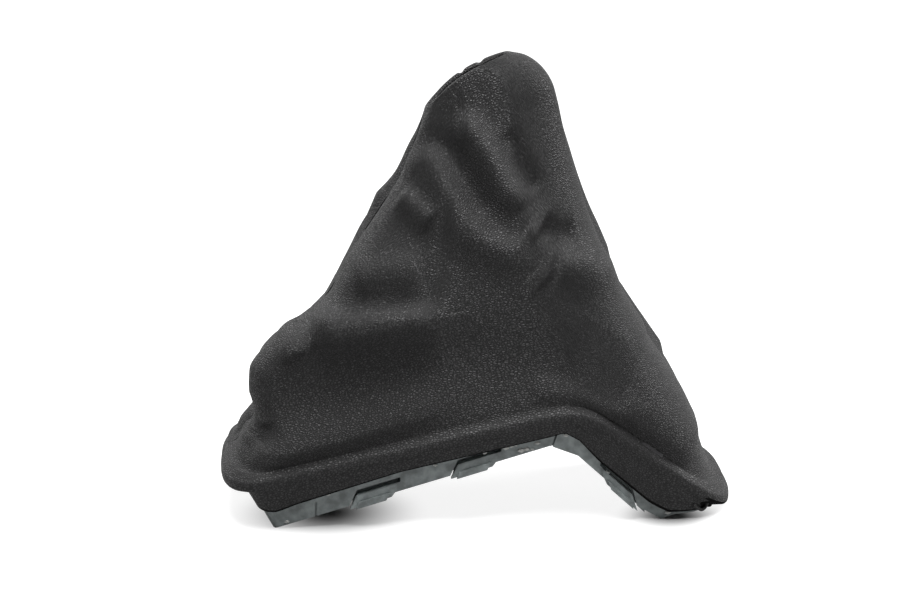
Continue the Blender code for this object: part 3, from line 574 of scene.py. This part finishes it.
class GaiterCoverSettings(bpy.types.PropertyGroup):
    thickness: FloatProperty(name="Thickness", description="Thickness of the leatherette",
                             default=1.2 * MM, unit="LENGTH", min=0.5 * MM, max=1.25 * MM)
    folds: FloatProperty(name="Folds", description="How deep the folds are, 1 as in the photograph",
                         default=1.0, subtype="FACTOR", min=0.0, max=1.2)
    grain_pitch: FloatProperty(name="Grain pitch", description="Mean width of one pebble of the grain",
                               default=1.15 * MM, unit="LENGTH", min=0.5 * MM, max=5 * MM)
    grain_depth: FloatProperty(name="Grain depth", description="Depth of the embossed grain",
                               default=0.27 * MM, unit="LENGTH", min=0.0, max=1 * MM)
    colour: FloatVectorProperty(name="Colour", description="Colour of the leatherette's skin",
                                default=linear("#252425"), size=4, subtype="COLOR", min=0.0, max=1.0)
    backing: FloatVectorProperty(name="Backing", description="Colour of the knitted backing",
                                 default=linear("#1E1D1F"), size=4, subtype="COLOR", min=0.0, max=1.0)


class GaiterFrameSettings(bpy.types.PropertyGroup):
    colour: FloatVectorProperty(name="Colour", description="Colour of the moulded frame",
                                default=linear("#828989"), size=4, subtype="COLOR", min=0.0, max=1.0)


class GaiterStageSettings(bpy.types.PropertyGroup):
    key: FloatProperty(name="Top light", description="Power of the soft box above",
                       default=26.0, unit="POWER", min=0.0, max=100.0)
    side: FloatProperty(name="Rear light", description="Power of the soft box behind on the right",
                        default=8.0, unit="POWER", min=0.0, max=100.0)
    rim: FloatProperty(name="Front rim light", description="Power of the soft box behind on the left",
                       default=2.5, unit="POWER", min=0.0, max=100.0)
    sky: FloatProperty(name="Room light", description="Strength of the even light from all sides",
                       default=0.08, min=0.0, max=2.0)


def add_node(tree, kind, settings=None, **links):
    """One shader node with its settings, input values or links; a name's underscores stand for spaces."""
    node = tree.nodes.new(kind)
    for name, value in (settings or {}).items():
        setattr(node, name, value)
    for name, value in links.items():
        socket = node.inputs[int(name[1:])] if name[0] == "_" else node.inputs[name.replace("_", " ")]
        if isinstance(value, bpy.types.NodeSocket):
            tree.links.new(value, socket)
        else:
            socket.default_value = value
    return node


def new_material(name):
    """An empty node material with its Principled shader."""
    material = bpy.data.materials.new(name)
    material.use_nodes = True
    return material, material.node_tree, material.node_tree.nodes["Principled BSDF"]


def tint(tree, shader, colour, factor):
    """Multiplies a colour by a factor and gives it to the shader."""
    mix = add_node(tree, "ShaderNodeMix", {"data_type": "RGBA", "blend_type": "MULTIPLY"})
    mix.inputs["Factor"].default_value = 1.0
    mix.inputs["A"].default_value = colour
    tree.links.new(factor, mix.inputs["B"])
    tree.links.new(mix.outputs["Result"], shader.inputs["Base Color"])


def roughen(tree, shader, scale, strength, distance):
    """Roughens the surface with a fine noise; the distance is in millimetres."""
    place = add_node(tree, "ShaderNodeTexCoord")
    lumps = add_node(tree, "ShaderNodeTexNoise", {}, Vector=place.outputs["Object"], Scale=scale, Detail=2.0)
    bump = add_node(tree, "ShaderNodeBump", {}, Strength=strength, Distance=distance * MM,
                    Height=lumps.outputs["Fac"])
    tree.links.new(bump.outputs["Normal"], shader.inputs["Normal"])


def leatherette_material(cover):
    """PVC leatherette, embossed: satin black, with pebbles that catch small lights, flatter on the band; its
    colour holds painted shade in the grooves between the pebbles, on the band and at the cut edge.
    """
    material, tree, shader = new_material("leatherette, embossed PVC")
    uv = add_node(tree, "ShaderNodeUVMap", {"uv_map": "cut"})
    relief = add_node(tree, "ShaderNodeAttribute", {"attribute_name": "grain"})
    painted_shade_map = add_node(tree, "ShaderNodeAttribute", {"attribute_name": "skin"})
    scale = 1.0 / cover.grain_pitch
    drawn = add_node(tree, "ShaderNodeMapping", {}, Vector=uv.outputs["UV"], Scale=PEBBLE_SHAPE)
    wander = add_node(tree, "ShaderNodeTexNoise", {}, Vector=uv.outputs["UV"],
                      Scale=scale * WANDER_SCALE, Detail=2.0)
    shift = add_node(tree, "ShaderNodeVectorMath", {"operation": "MULTIPLY_ADD"}, _0=wander.outputs["Color"],
                     _1=(cover.grain_pitch * WANDER_REACH,) * 3, _2=drawn.outputs["Vector"])
    pebbles = add_node(tree, "ShaderNodeTexVoronoi", {"feature": "DISTANCE_TO_EDGE"},
                       Vector=shift.outputs[0], Scale=scale, Randomness=1.0)
    domes = add_node(tree, "ShaderNodeMapRange", {"interpolation_type": "SMOOTHSTEP"},
                     Value=pebbles.outputs["Distance"], From_Min=0.0, From_Max=0.4)
    wrinkles = add_node(tree, "ShaderNodeTexNoise", {}, Vector=uv.outputs["UV"],
                        Scale=scale * WRINKLE_SCALE, Detail=2.0)
    height = add_node(tree, "ShaderNodeMath", {"operation": "MULTIPLY_ADD"}, _0=wrinkles.outputs["Fac"],
                      _1=WRINKLE_SHARE, _2=domes.outputs["Result"])
    depth = add_node(tree, "ShaderNodeMath", {"operation": "MULTIPLY"}, _0=height.outputs[0],
                     _1=relief.outputs["Fac"])
    bump = add_node(tree, "ShaderNodeBump", {}, Strength=1.0, Distance=cover.grain_depth,
                    Height=depth.outputs[0])
    tree.links.new(bump.outputs["Normal"], shader.inputs["Normal"])
    # The skin's colour: darker in the grooves between the pebbles as painted shade and lighter on their tops,
    # times the painted shade at the cut edge and on the band
    shade = add_node(tree, "ShaderNodeMapRange", {}, Value=domes.outputs["Result"], To_Min=0.1, To_Max=1.2)
    skin_with_painted_shade = add_node(tree, "ShaderNodeMath", {"operation": "MULTIPLY"}, _0=shade.outputs["Result"],
                    _1=painted_shade_map.outputs["Fac"])
    tint(tree, shader, cover.colour, skin_with_painted_shade.outputs[0])
    gloss = add_node(tree, "ShaderNodeMapRange", {}, Value=skin_with_painted_shade.outputs[0], To_Min=0.85, To_Max=0.42)
    tree.links.new(gloss.outputs["Result"], shader.inputs["Roughness"])
    shader.inputs["Specular IOR Level"].default_value = 0.6
    return material


def backing_material(cover):
    """Polyester knit backing: dull rows of loops, seen inside the cover and at cut edges."""
    material, tree, shader = new_material("backing, polyester knit")
    uv = add_node(tree, "ShaderNodeUVMap", {"uv_map": "cut"})
    wave = add_node(tree, "ShaderNodeTexWave", {"wave_type": "BANDS", "bands_direction": "DIAGONAL"},
                    Vector=uv.outputs["UV"], Scale=KNIT_SCALE, Distortion=1.5, Detail_Scale=3.0)
    bump = add_node(tree, "ShaderNodeBump", {}, Strength=0.8, Distance=0.2 * MM, Height=wave.outputs["Fac"])
    tree.links.new(bump.outputs["Normal"], shader.inputs["Normal"])
    shader.inputs["Base Color"].default_value = cover.backing
    shader.inputs["Roughness"].default_value = 0.95
    shader.inputs["Sheen Weight"].default_value = 0.3
    return material


def black_shade_material():
    """Black with hardly any shine: painted shade in the hollow under the rear lip and in the front seam's
    valley, and the painted shadow of the gap under the cut lower edge.
    """
    material, tree, shader = new_material("black, painted shade")
    roughen(tree, shader, scale=1500.0, strength=0.5, distance=0.2)
    shader.inputs["Base Color"].default_value = linear("#141414")
    shader.inputs["Roughness"].default_value = 0.95
    shader.inputs["Specular IOR Level"].default_value = 0.05
    return material


def new_piece(name, points, faces):
    """A mesh object from points in millimetres that rides on the one body."""
    mesh = bpy.data.meshes.new(name)
    mesh.from_pydata([tuple(p) for p in np.asarray(points, float) * MM], [], faces)
    mesh.validate()
    piece = bpy.data.objects.new(name, mesh)
    bpy.context.scene.collection.objects.link(piece)
    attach(piece, "root")
    return piece


def cut_places(rows):
    """Where each point of the grid lies on the flat cut in millimetres: along its row and up its column."""
    across = np.linalg.norm(np.diff(rows, axis=1), axis=2)
    u = np.concatenate([np.zeros((len(rows), 1)), np.cumsum(across, axis=1)], axis=1)
    u -= u.mean(axis=1)[:, None]
    upward = np.linalg.norm(np.diff(rows, axis=0), axis=2)
    v = np.concatenate([np.zeros((1, rows.shape[1])), np.cumsum(upward, axis=0)], axis=0)
    return u, v


def cover_grid(ears, folds, side):
    """A panel's outer face as rows of points, on the left side, from its lower edge up and in at the hem.

    Also the number of rows in its band, and in its band and face together.
    """
    cover = bpy.context.scene.gaiter_cover
    leather = cover.thickness / MM
    at = stations(COVER_COLUMNS)
    steps = np.linspace(0.0, 1.0, COVER_STEPS + 1)
    face = cover_rows(at, ears, folds, steps, leather, cover.folds)
    band = band_rows(at, leather)
    if side < 0:
        creases = fold_relief(BAND_FOLDS, band[:, :, 0], band[:, :, 2]) * (band[:, :, 1] < -HALF_WIDTH / 2)
        band += grid_normals(band) * creases[:, :, None]
    rows = np.concatenate([band, face])
    rows = np.concatenate([rows, hem_rows(rows, leather)])
    top = len(band) + len(face)
    if side > 0:
        rim = np.exp(-((np.linalg.norm(rows - rows[top - 1], axis=2) / RIM_REACH) ** 2))
        for place, depth, half in RIM_NOTCHES:
            rows[:, :, 2] -= depth * np.exp(-(((rows[:, :, 0] - place) / half) ** 2)) * rim
    rows[:, :, 1] = np.minimum(rows[:, :, 1], 0.0) - SEAM_GAP / 2
    return rows, len(band), top


def surface_maps(rows, u, side, band, top):
    """The grain's depth and the skin's lightness, with its painted shade, at each point, and which faces take
    the black of painted shade.
    """
    grain = np.ones(rows.shape[:2])
    grain[:band] = BAND_GRAIN
    grain[band:band + GRAIN_ROWS] = np.linspace(BAND_GRAIN, 1.0, GRAIN_ROWS)[:, None]
    skin = np.ones(rows.shape[:2])
    skin[0] = EDGE_SHADE
    skin[1:band - len(RIDGE_ANGLES)] = BAND_SHADE
    # Faces painted black as shade: the hollow under the rear lip, the strip at the cut lower edge as the
    # gap's shadow, and the seam's valley
    hollow = (rows[:, :, 0] > HOLLOW_X) & (rows[:, :, 2] < HOLLOW_Z)
    hollow[band - len(RIDGE_ANGLES) - 1:] = False
    hollow[0] = True
    valley = u - u[:, :1] < VALLEY_REACH[0 if side < 0 else 1]
    valley &= (rows[:, :, 2] > VALLEY_FOOT) & (np.arange(len(rows)) < top - VALLEY_ROWS_BELOW_MOUTH)[:, None]
    return grain, skin, (hollow | valley)[:-1, :-1].ravel()


def seam_allowances(rows, u, v, first, last):
    """The strips beside both seams that lie doubled inside: their points, places on the cut and faces."""
    tall, wide = rows.shape[:2]
    points, cut, faces = [], [], []
    for column, inward in ((0, 1.0), (wide - 1, -1.0)):
        start = tall * wide + len(points)
        for i in range(first + 1, last):
            x, y, z = rows[i, column]
            points.append((x + inward * SEAM_ALLOWANCE, y, z))
            cut.append((u[i, column] - inward * SEAM_ALLOWANCE, v[i, column]))
        for i in range(first, last):
            a, b = i * wide + column, (i + 1) * wide + column
            c, d = start + i - first, start + i - first - 1
            corner = (a, b, c) if i == first else (a, b, d) if i == last - 1 else (a, b, c, d)
            faces.append(corner if inward > 0 else tuple(reversed(corner)))
    return points, cut, faces


def build_cover(name, node, ears, folds, side):
    """One panel of the cover, with its band over the lip, its hem at the mouth and its seam allowances."""
    cover = bpy.context.scene.gaiter_cover
    rows, band, top = cover_grid(ears, folds, side)
    tall, wide = rows.shape[:2]
    u, v = cut_places(rows)
    grain, skin, dark = surface_maps(rows, u, side, band, top)
    strips, strip_cut, strip_faces = seam_allowances(rows, u, v, band + ALLOWANCE_ROWS_FROM_FRAME,
                                                     top - ALLOWANCE_ROWS_FROM_MOUTH)
    points = np.concatenate([rows.reshape(-1, 3), strips]) * (1.0, -side, 1.0)
    cut = np.concatenate([np.stack([u.ravel(), v.ravel()], axis=1), strip_cut])
    plain = np.ones(len(strips))
    faces = [(i * wide + j, i * wide + j + 1, (i + 1) * wide + j + 1, (i + 1) * wide + j)
             for i in range(tall - 1) for j in range(wide - 1)] + strip_faces
    if side > 0:
        faces = [tuple(reversed(one)) for one in faces]
    piece = new_piece(name, points, faces)
    mesh = piece.data
    layer = mesh.uv_layers.new(name="cut")
    corners = np.zeros(len(mesh.loops), int)
    mesh.loops.foreach_get("vertex_index", corners)
    layer.data.foreach_set("uv", (cut[corners] * MM).ravel())
    for attribute, values in (("grain", grain), ("skin", skin)):
        values = list(np.concatenate([values.ravel(), plain]))
        mesh.attributes.new(attribute, "FLOAT", "POINT").data.foreach_set("value", values)
    for material in (leatherette_material(cover), backing_material(cover), black_shade_material()):
        mesh.materials.append(material)
    kinds = np.zeros(len(mesh.polygons), int)
    kinds[:len(dark)][dark] = 2
    mesh.polygons.foreach_set("material_index", kinds)
    thick = piece.modifiers.new("thickness", "SOLIDIFY")
    thick.thickness = cover.thickness
    thick.offset = -1.0
    thick.material_offset = 1
    thick.material_offset_rim = 1
    mesh.shade_smooth()
    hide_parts(node)


def tube(line, radius, sides):
    """The points and faces of a round bar with closed ends along a line of points."""
    line = np.asarray(line, float)
    way = np.gradient(line, axis=0)
    way /= np.linalg.norm(way, axis=1)[:, None]
    across = np.cross(way, (0.0, 1.0, 0.0))
    across /= np.linalg.norm(across, axis=1)[:, None]
    up = np.cross(way, across)
    angles = np.arange(sides) * 2 * np.pi / sides
    sizes = [TIP_SHARE] + [1.0] * (len(line) - 2) + [TIP_SHARE]
    points = [spot + size * radius * (np.cos(angle) * a + np.sin(angle) * b)
              for spot, size, a, b in zip(line, sizes, across, up) for angle in angles]
    faces = []
    for k in range(len(line) - 1):
        near, far = k * sides, (k + 1) * sides
        faces += [(near + i, near + (i + 1) % sides, far + (i + 1) % sides, far + i) for i in range(sides)]
    faces += [tuple(reversed(range(sides))), tuple(range((len(line) - 1) * sides, len(line) * sides))]
    return points, faces


def thread_material():
    """Polyester sewing thread, twisted: black with a soft sheen."""
    material, tree, shader = new_material("thread, black polyester")
    place = add_node(tree, "ShaderNodeTexCoord")
    twist = add_node(tree, "ShaderNodeTexWave", {"wave_type": "BANDS", "bands_direction": "DIAGONAL"},
                     Vector=place.outputs["Object"], Scale=TWIST_SCALE)
    bump = add_node(tree, "ShaderNodeBump", {}, Strength=0.7, Distance=0.1 * MM, Height=twist.outputs["Fac"])
    tree.links.new(bump.outputs["Normal"], shader.inputs["Normal"])
    shader.inputs["Base Color"].default_value = linear("#1B1B1D")
    shader.inputs["Roughness"].default_value = 0.6
    shader.inputs["Sheen Weight"].default_value = 0.2
    return material


def glue_material():
    """Hot-melt glue, set: milky and slightly shiny."""
    material, tree, shader = new_material("glue, hot-melt")
    roughen(tree, shader, scale=900.0, strength=0.6, distance=0.2)
    shader.inputs["Base Color"].default_value = linear("#B9BAB7")
    shader.inputs["Roughness"].default_value = 0.35
    return material


def build_seam_threads():
    """The threads of both seams: two rows of lockstitches, one on each face of the doubled allowances."""
    cover = bpy.context.scene.gaiter_cover
    leather = cover.thickness / MM
    steps = np.linspace(0.0, 1.0, COVER_STEPS + 1)
    seams = cover_rows(np.array([0.0, 3.0]), LEFT_EARS, LEFT_FOLDS, steps, leather, cover.folds)
    shares, lifts = np.array(STITCH_PROFILE).T
    points, faces = [], []
    for column, inward in ((0, 1.0), (1, -1.0)):
        line = seams[STITCHED_ROWS, column]
        along = np.concatenate([[0.0], np.cumsum(np.linalg.norm(np.diff(line, axis=0), axis=1))])
        for start in np.arange(STITCH_PITCH, along[-1] - STITCH_PITCH, STITCH_PITCH):
            places = start + STITCH_LENGTH * shares
            x = np.interp(places, along, line[:, 0]) + inward * STITCH_FROM_SEAM
            z = np.interp(places, along, line[:, 2])
            for side in (-1.0, 1.0):
                y = side * (SEAM_GAP / 2 + leather + THREAD_RADIUS * lifts)
                more, skin = tube(np.stack([x, y, z], axis=1), THREAD_RADIUS, THREAD_SIDES)
                faces += [tuple(len(points) + i for i in face) for face in skin]
                points += more
    piece = new_piece("seam_threads", points, faces)
    piece.data.materials.append(thread_material())
    piece.data.shade_smooth()


def build_glue_beads():
    """Beads of glue that squeezed out below the leatherette's edge on the left wall."""
    leather = bpy.context.scene.gaiter_cover.thickness / MM
    long, thick, tall = BEAD_SHAPE
    points, faces = [], []
    for x, z, size in GLUE_BEADS:
        under_lip = ridge_height(x, -HALF_WIDTH) - leather - CLEARANCE - LIP_THICKNESS
        wall = -(HALF_WIDTH - SIDE_LIP - SIDE_LEAN * (under_lip - z))
        mesh = bmesh.new()
        bmesh.ops.create_icosphere(mesh, subdivisions=BEAD_SUBDIVISIONS, radius=1.0)
        for spot in mesh.verts:
            lumps = noise.noise(spot.co * BEAD_LUMPS_PER_RADIUS + Vector((x, z, size)))
            reach = size * (1.0 + BEAD_LUMP_HEIGHT * lumps)
            spot.co = Vector((x + long * reach * spot.co.x,
                              wall - BEAD_OFFSET + min(thick * reach * spot.co.y, 0.0),
                              z + tall * reach * spot.co.z))
        mesh.verts.ensure_lookup_table()
        faces += [tuple(len(points) + v.index for v in face.verts) for face in mesh.faces]
        points += [tuple(v.co) for v in mesh.verts]
        mesh.free()
    piece = new_piece("glue_beads", points, faces)
    piece.data.materials.append(glue_material())
    piece.data.shade_smooth()


def build_rear_tuck():
    """The rolled edge of the spare leatherette below the rear corner of the left panel."""
    points, faces = tube(flow(TUCK, np.linspace(0.0, 1.0, TUCK_STEPS)), TUCK_RADIUS, TUCK_SIDES)
    piece = new_piece("rear_tuck", points, faces)
    for name in ("grain", "skin"):
        values = piece.data.attributes.new(name, "FLOAT", "POINT").data
        values.foreach_set("value", [1.0] * len(points))
    piece.data.materials.append(leatherette_material(bpy.context.scene.gaiter_cover))
    piece.data.shade_smooth()


class GAITER_OT_left_cover(bpy.types.Operator):
    """Builds the leatherette panel on the side nearer the camera"""
    bl_idname = "gaiter.left_cover"
    bl_label = "Left panel"

    def execute(self, context):
        build_cover("left_cover", "left_panel", LEFT_EARS, LEFT_FOLDS, -1)
        return {"FINISHED"}


class GAITER_OT_right_cover(bpy.types.Operator):
    """Builds the leatherette panel on the far side"""
    bl_idname = "gaiter.right_cover"
    bl_label = "Right panel"

    def execute(self, context):
        build_cover("right_cover", "right_panel", RIGHT_EARS, RIGHT_FOLDS, 1)
        return {"FINISHED"}


class GAITER_OT_seam_threads(bpy.types.Operator):
    """Sews the two panels together along the allowances inside"""
    bl_idname = "gaiter.seam_threads"
    bl_label = "Seam threads"

    def execute(self, context):
        build_seam_threads()
        return {"FINISHED"}


class GAITER_OT_rear_tuck(bpy.types.Operator):
    """Folds the spare leatherette under the rear corner"""
    bl_idname = "gaiter.rear_tuck"
    bl_label = "Rear tuck"

    def execute(self, context):
        build_rear_tuck()
        return {"FINISHED"}


class GAITER_OT_glue_beads(bpy.types.Operator):
    """Adds the glue squeezed out at the leatherette's lower edge"""
    bl_idname = "gaiter.glue_beads"
    bl_label = "Glue beads"

    def execute(self, context):
        build_glue_beads()
        return {"FINISHED"}


def moulded_material(settings):
    """ABS, injection moulded in a lightly etched tool: a dull grey with faint flow and scuffs."""
    material, tree, shader = new_material("frame, moulded ABS")
    place = add_node(tree, "ShaderNodeTexCoord")
    scuffs = add_node(tree, "ShaderNodeTexNoise", {}, Vector=place.outputs["Object"], Scale=220.0,
                      Detail=4.0)
    shade = add_node(tree, "ShaderNodeMapRange", {}, Value=scuffs.outputs["Fac"], From_Min=0.35,
                     From_Max=0.7, To_Min=0.62, To_Max=1.35)
    tint(tree, shader, settings.colour, shade.outputs["Result"])
    roughen(tree, shader, scale=1800.0, strength=0.5, distance=0.05)
    shader.inputs["Roughness"].default_value = 0.42
    shader.inputs["IOR"].default_value = 1.53
    return material


class GAITER_OT_frame_finish(bpy.types.Operator):
    """Gives the moulded frame its plastic"""
    bl_idname = "gaiter.frame_finish"
    bl_label = "Frame"

    def execute(self, context):
        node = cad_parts["frame"]
        node.data.materials.clear()
        node.data.materials.append(moulded_material(context.scene.gaiter_frame))
        return {"FINISHED"}


def seen_white(tree):
    """1 for rays from the camera or through glass, which see plain white, and a share of it in mirrors."""
    path = add_node(tree, "ShaderNodeLightPath")
    seen = add_node(tree, "ShaderNodeMath", {"operation": "MAXIMUM"}, _0=path.outputs["Is Camera Ray"],
                    _1=path.outputs["Is Transmission Ray"])
    seen = add_node(tree, "ShaderNodeMath", {"operation": "MULTIPLY_ADD"}, _0=path.outputs["Is Glossy Ray"],
                    _1=GLOSSY_SHARE, _2=seen.outputs[0])
    return seen.outputs[0]


def floor_material():
    """Matt white paper: white to the camera and partly in reflections, while it keeps the part's shadow, with
    painted shadows round the feet.
    """
    material, tree, shader = new_material("floor, matt paper")
    shader.inputs["Base Color"].default_value = linear("#A2A2A2")
    shader.inputs["Roughness"].default_value = 1.0
    shader.inputs["Specular IOR Level"].default_value = 0.0
    place = add_node(tree, "ShaderNodeNewGeometry")
    away = add_node(tree, "ShaderNodeVectorMath", {"operation": "LENGTH"}, _0=place.outputs["Position"])
    amount = add_node(tree, "ShaderNodeMapRange", {"interpolation_type": "SMOOTHSTEP"},
                      Value=away.outputs["Value"], From_Min=NEAR_REACH * MM, From_Max=FAR_REACH * MM,
                      To_Min=NEAR_WHITENESS, To_Max=1.0)
    lift = add_node(tree, "ShaderNodeMath", {"operation": "MULTIPLY"}, _0=seen_white(tree),
                    _1=amount.outputs["Result"])
    # Painted shadows: the white lift fades out round each foot, so the floor's own shading shows there
    for middle, dark, end in FOOT_SHADOWS:
        gap = add_node(tree, "ShaderNodeVectorMath", {"operation": "DISTANCE"}, _0=place.outputs["Position"],
                       _1=tuple(Vector(middle) * MM))
        clear = add_node(tree, "ShaderNodeMapRange", {"interpolation_type": "SMOOTHSTEP"},
                         Value=gap.outputs["Value"], From_Min=dark * MM, From_Max=end * MM)
        lift = add_node(tree, "ShaderNodeMath", {"operation": "MULTIPLY"}, _0=lift.outputs[0],
                        _1=clear.outputs["Result"])
    tree.links.new(lift.outputs[0], shader.inputs["Emission Strength"])
    shader.inputs["Emission Color"].default_value = (1.0, 1.0, 1.0, 1.0)
    return material


def aim(thing, place, target):
    """Puts a lamp or camera at a place and turns it to its target, both in millimetres."""
    thing.location = Vector(place) * MM
    thing.rotation_euler = (Vector(place) - Vector(target)).to_track_quat("Z", "Y").to_euler()


def add_soft_box(name, place, size, power):
    """A square area lamp aimed at the part's middle."""
    data = bpy.data.lights.new(name, "AREA")
    data.size = size * MM
    data.energy = power
    lamp = bpy.data.objects.new(name, data)
    bpy.context.scene.collection.objects.link(lamp)
    aim(lamp, place, CAMERA_TARGET)


def add_floor():
    """The paper that the part stands on, seen as a white ground."""
    mesh = bpy.data.meshes.new("floor")
    corners = [(x * FLOOR_HALF, y * FLOOR_HALF, 0.0) for x, y in ((-1, -1), (1, -1), (1, 1), (-1, 1))]
    mesh.from_pydata(corners, [], [(0, 1, 2, 3)])
    mesh.materials.append(floor_material())
    floor = bpy.data.objects.new("floor", mesh)
    bpy.context.scene.collection.objects.link(floor)


def add_surroundings(sky):
    """A world that is white to the camera and lights the part evenly at a low strength."""
    world = bpy.data.worlds.new("studio")
    world.use_nodes = True
    tree = world.node_tree
    strength = add_node(tree, "ShaderNodeMapRange", {}, Value=seen_white(tree), To_Min=sky, To_Max=1.0)
    background = tree.nodes["Background"]
    background.inputs["Color"].default_value = (1.0, 1.0, 1.0, 1.0)
    tree.links.new(strength.outputs["Result"], background.inputs["Strength"])
    bpy.context.scene.world = world


def add_camera():
    """The photograph's camera."""
    data = bpy.data.cameras.new("camera")
    data.lens = LENS
    data.sensor_width = SENSOR
    data.sensor_fit = "HORIZONTAL"
    data.clip_end = CAMERA_SIGHT
    camera = bpy.data.objects.new("camera", data)
    bpy.context.scene.collection.objects.link(camera)
    tilt, turn = math.radians(CAMERA_ELEVATION), math.radians(CAMERA_AZIMUTH)
    outward = Vector((math.sin(turn) * math.cos(tilt), -math.cos(turn) * math.cos(tilt), math.sin(tilt)))
    aim(camera, Vector(CAMERA_TARGET) + outward * CAMERA_DISTANCE, CAMERA_TARGET)
    bpy.context.scene.camera = camera


class GAITER_OT_studio(bpy.types.Operator):
    """Adds the floor, the lamps, the world and the photograph's camera"""
    bl_idname = "gaiter.studio"
    bl_label = "Studio"

    def execute(self, context):
        stage = context.scene.gaiter_stage
        add_floor()
        add_soft_box("top soft box", *TOP_BOX, stage.key)
        add_soft_box("rear soft box", *REAR_BOX, stage.side)
        add_soft_box("front rim soft box", *RIM_BOX, stage.rim)
        add_surroundings(stage.sky)
        add_camera()
        context.scene.view_settings.view_transform = "Standard"
        return {"FINISHED"}


class VIEW3D_PT_gaiter(bpy.types.Panel):
    """The gaiter's pieces and sizes in the 3D view's sidebar"""
    bl_label = "Handbrake gaiter"
    bl_space_type = "VIEW_3D"
    bl_region_type = "UI"
    bl_category = "Gaiter"

    def draw(self, context):
        layout = self.layout
        for settings, operators in PANEL_ROWS:
            box = layout.box()
            group = getattr(context.scene, settings)
            for name in group.bl_rna.properties.keys():
                if name not in ("rna_type", "name"):
                    box.prop(group, name)
            for operator in operators:
                box.operator(operator)


PANEL_ROWS = (
    ("gaiter_cover", ("gaiter.left_cover", "gaiter.right_cover", "gaiter.seam_threads", "gaiter.rear_tuck")),
    ("gaiter_frame", ("gaiter.frame_finish", "gaiter.glue_beads")),
    ("gaiter_stage", ("gaiter.studio",)),
)
SETTINGS = {
    "gaiter_cover": GaiterCoverSettings,
    "gaiter_frame": GaiterFrameSettings,
    "gaiter_stage": GaiterStageSettings,
}
CLASSES = (
    GaiterCoverSettings, GaiterFrameSettings, GaiterStageSettings,
    GAITER_OT_left_cover, GAITER_OT_right_cover, GAITER_OT_seam_threads, GAITER_OT_rear_tuck,
    GAITER_OT_frame_finish, GAITER_OT_glue_beads, GAITER_OT_studio,
    VIEW3D_PT_gaiter,
)


def register():
    for one in CLASSES:
        bpy.utils.register_class(one)
    for name, kind in SETTINGS.items():
        setattr(bpy.types.Scene, name, PointerProperty(type=kind))


def unregister():
    for name in SETTINGS:
        delattr(bpy.types.Scene, name)
    for one in reversed(CLASSES):
        bpy.utils.unregister_class(one)


def main():
    register()
    bpy.ops.gaiter.left_cover()
    bpy.ops.gaiter.right_cover()
    bpy.ops.gaiter.seam_threads()
    bpy.ops.gaiter.rear_tuck()
    bpy.ops.gaiter.frame_finish()
    bpy.ops.gaiter.glue_beads()
    bpy.ops.gaiter.studio()


if __name__ == "__main__":
    main()
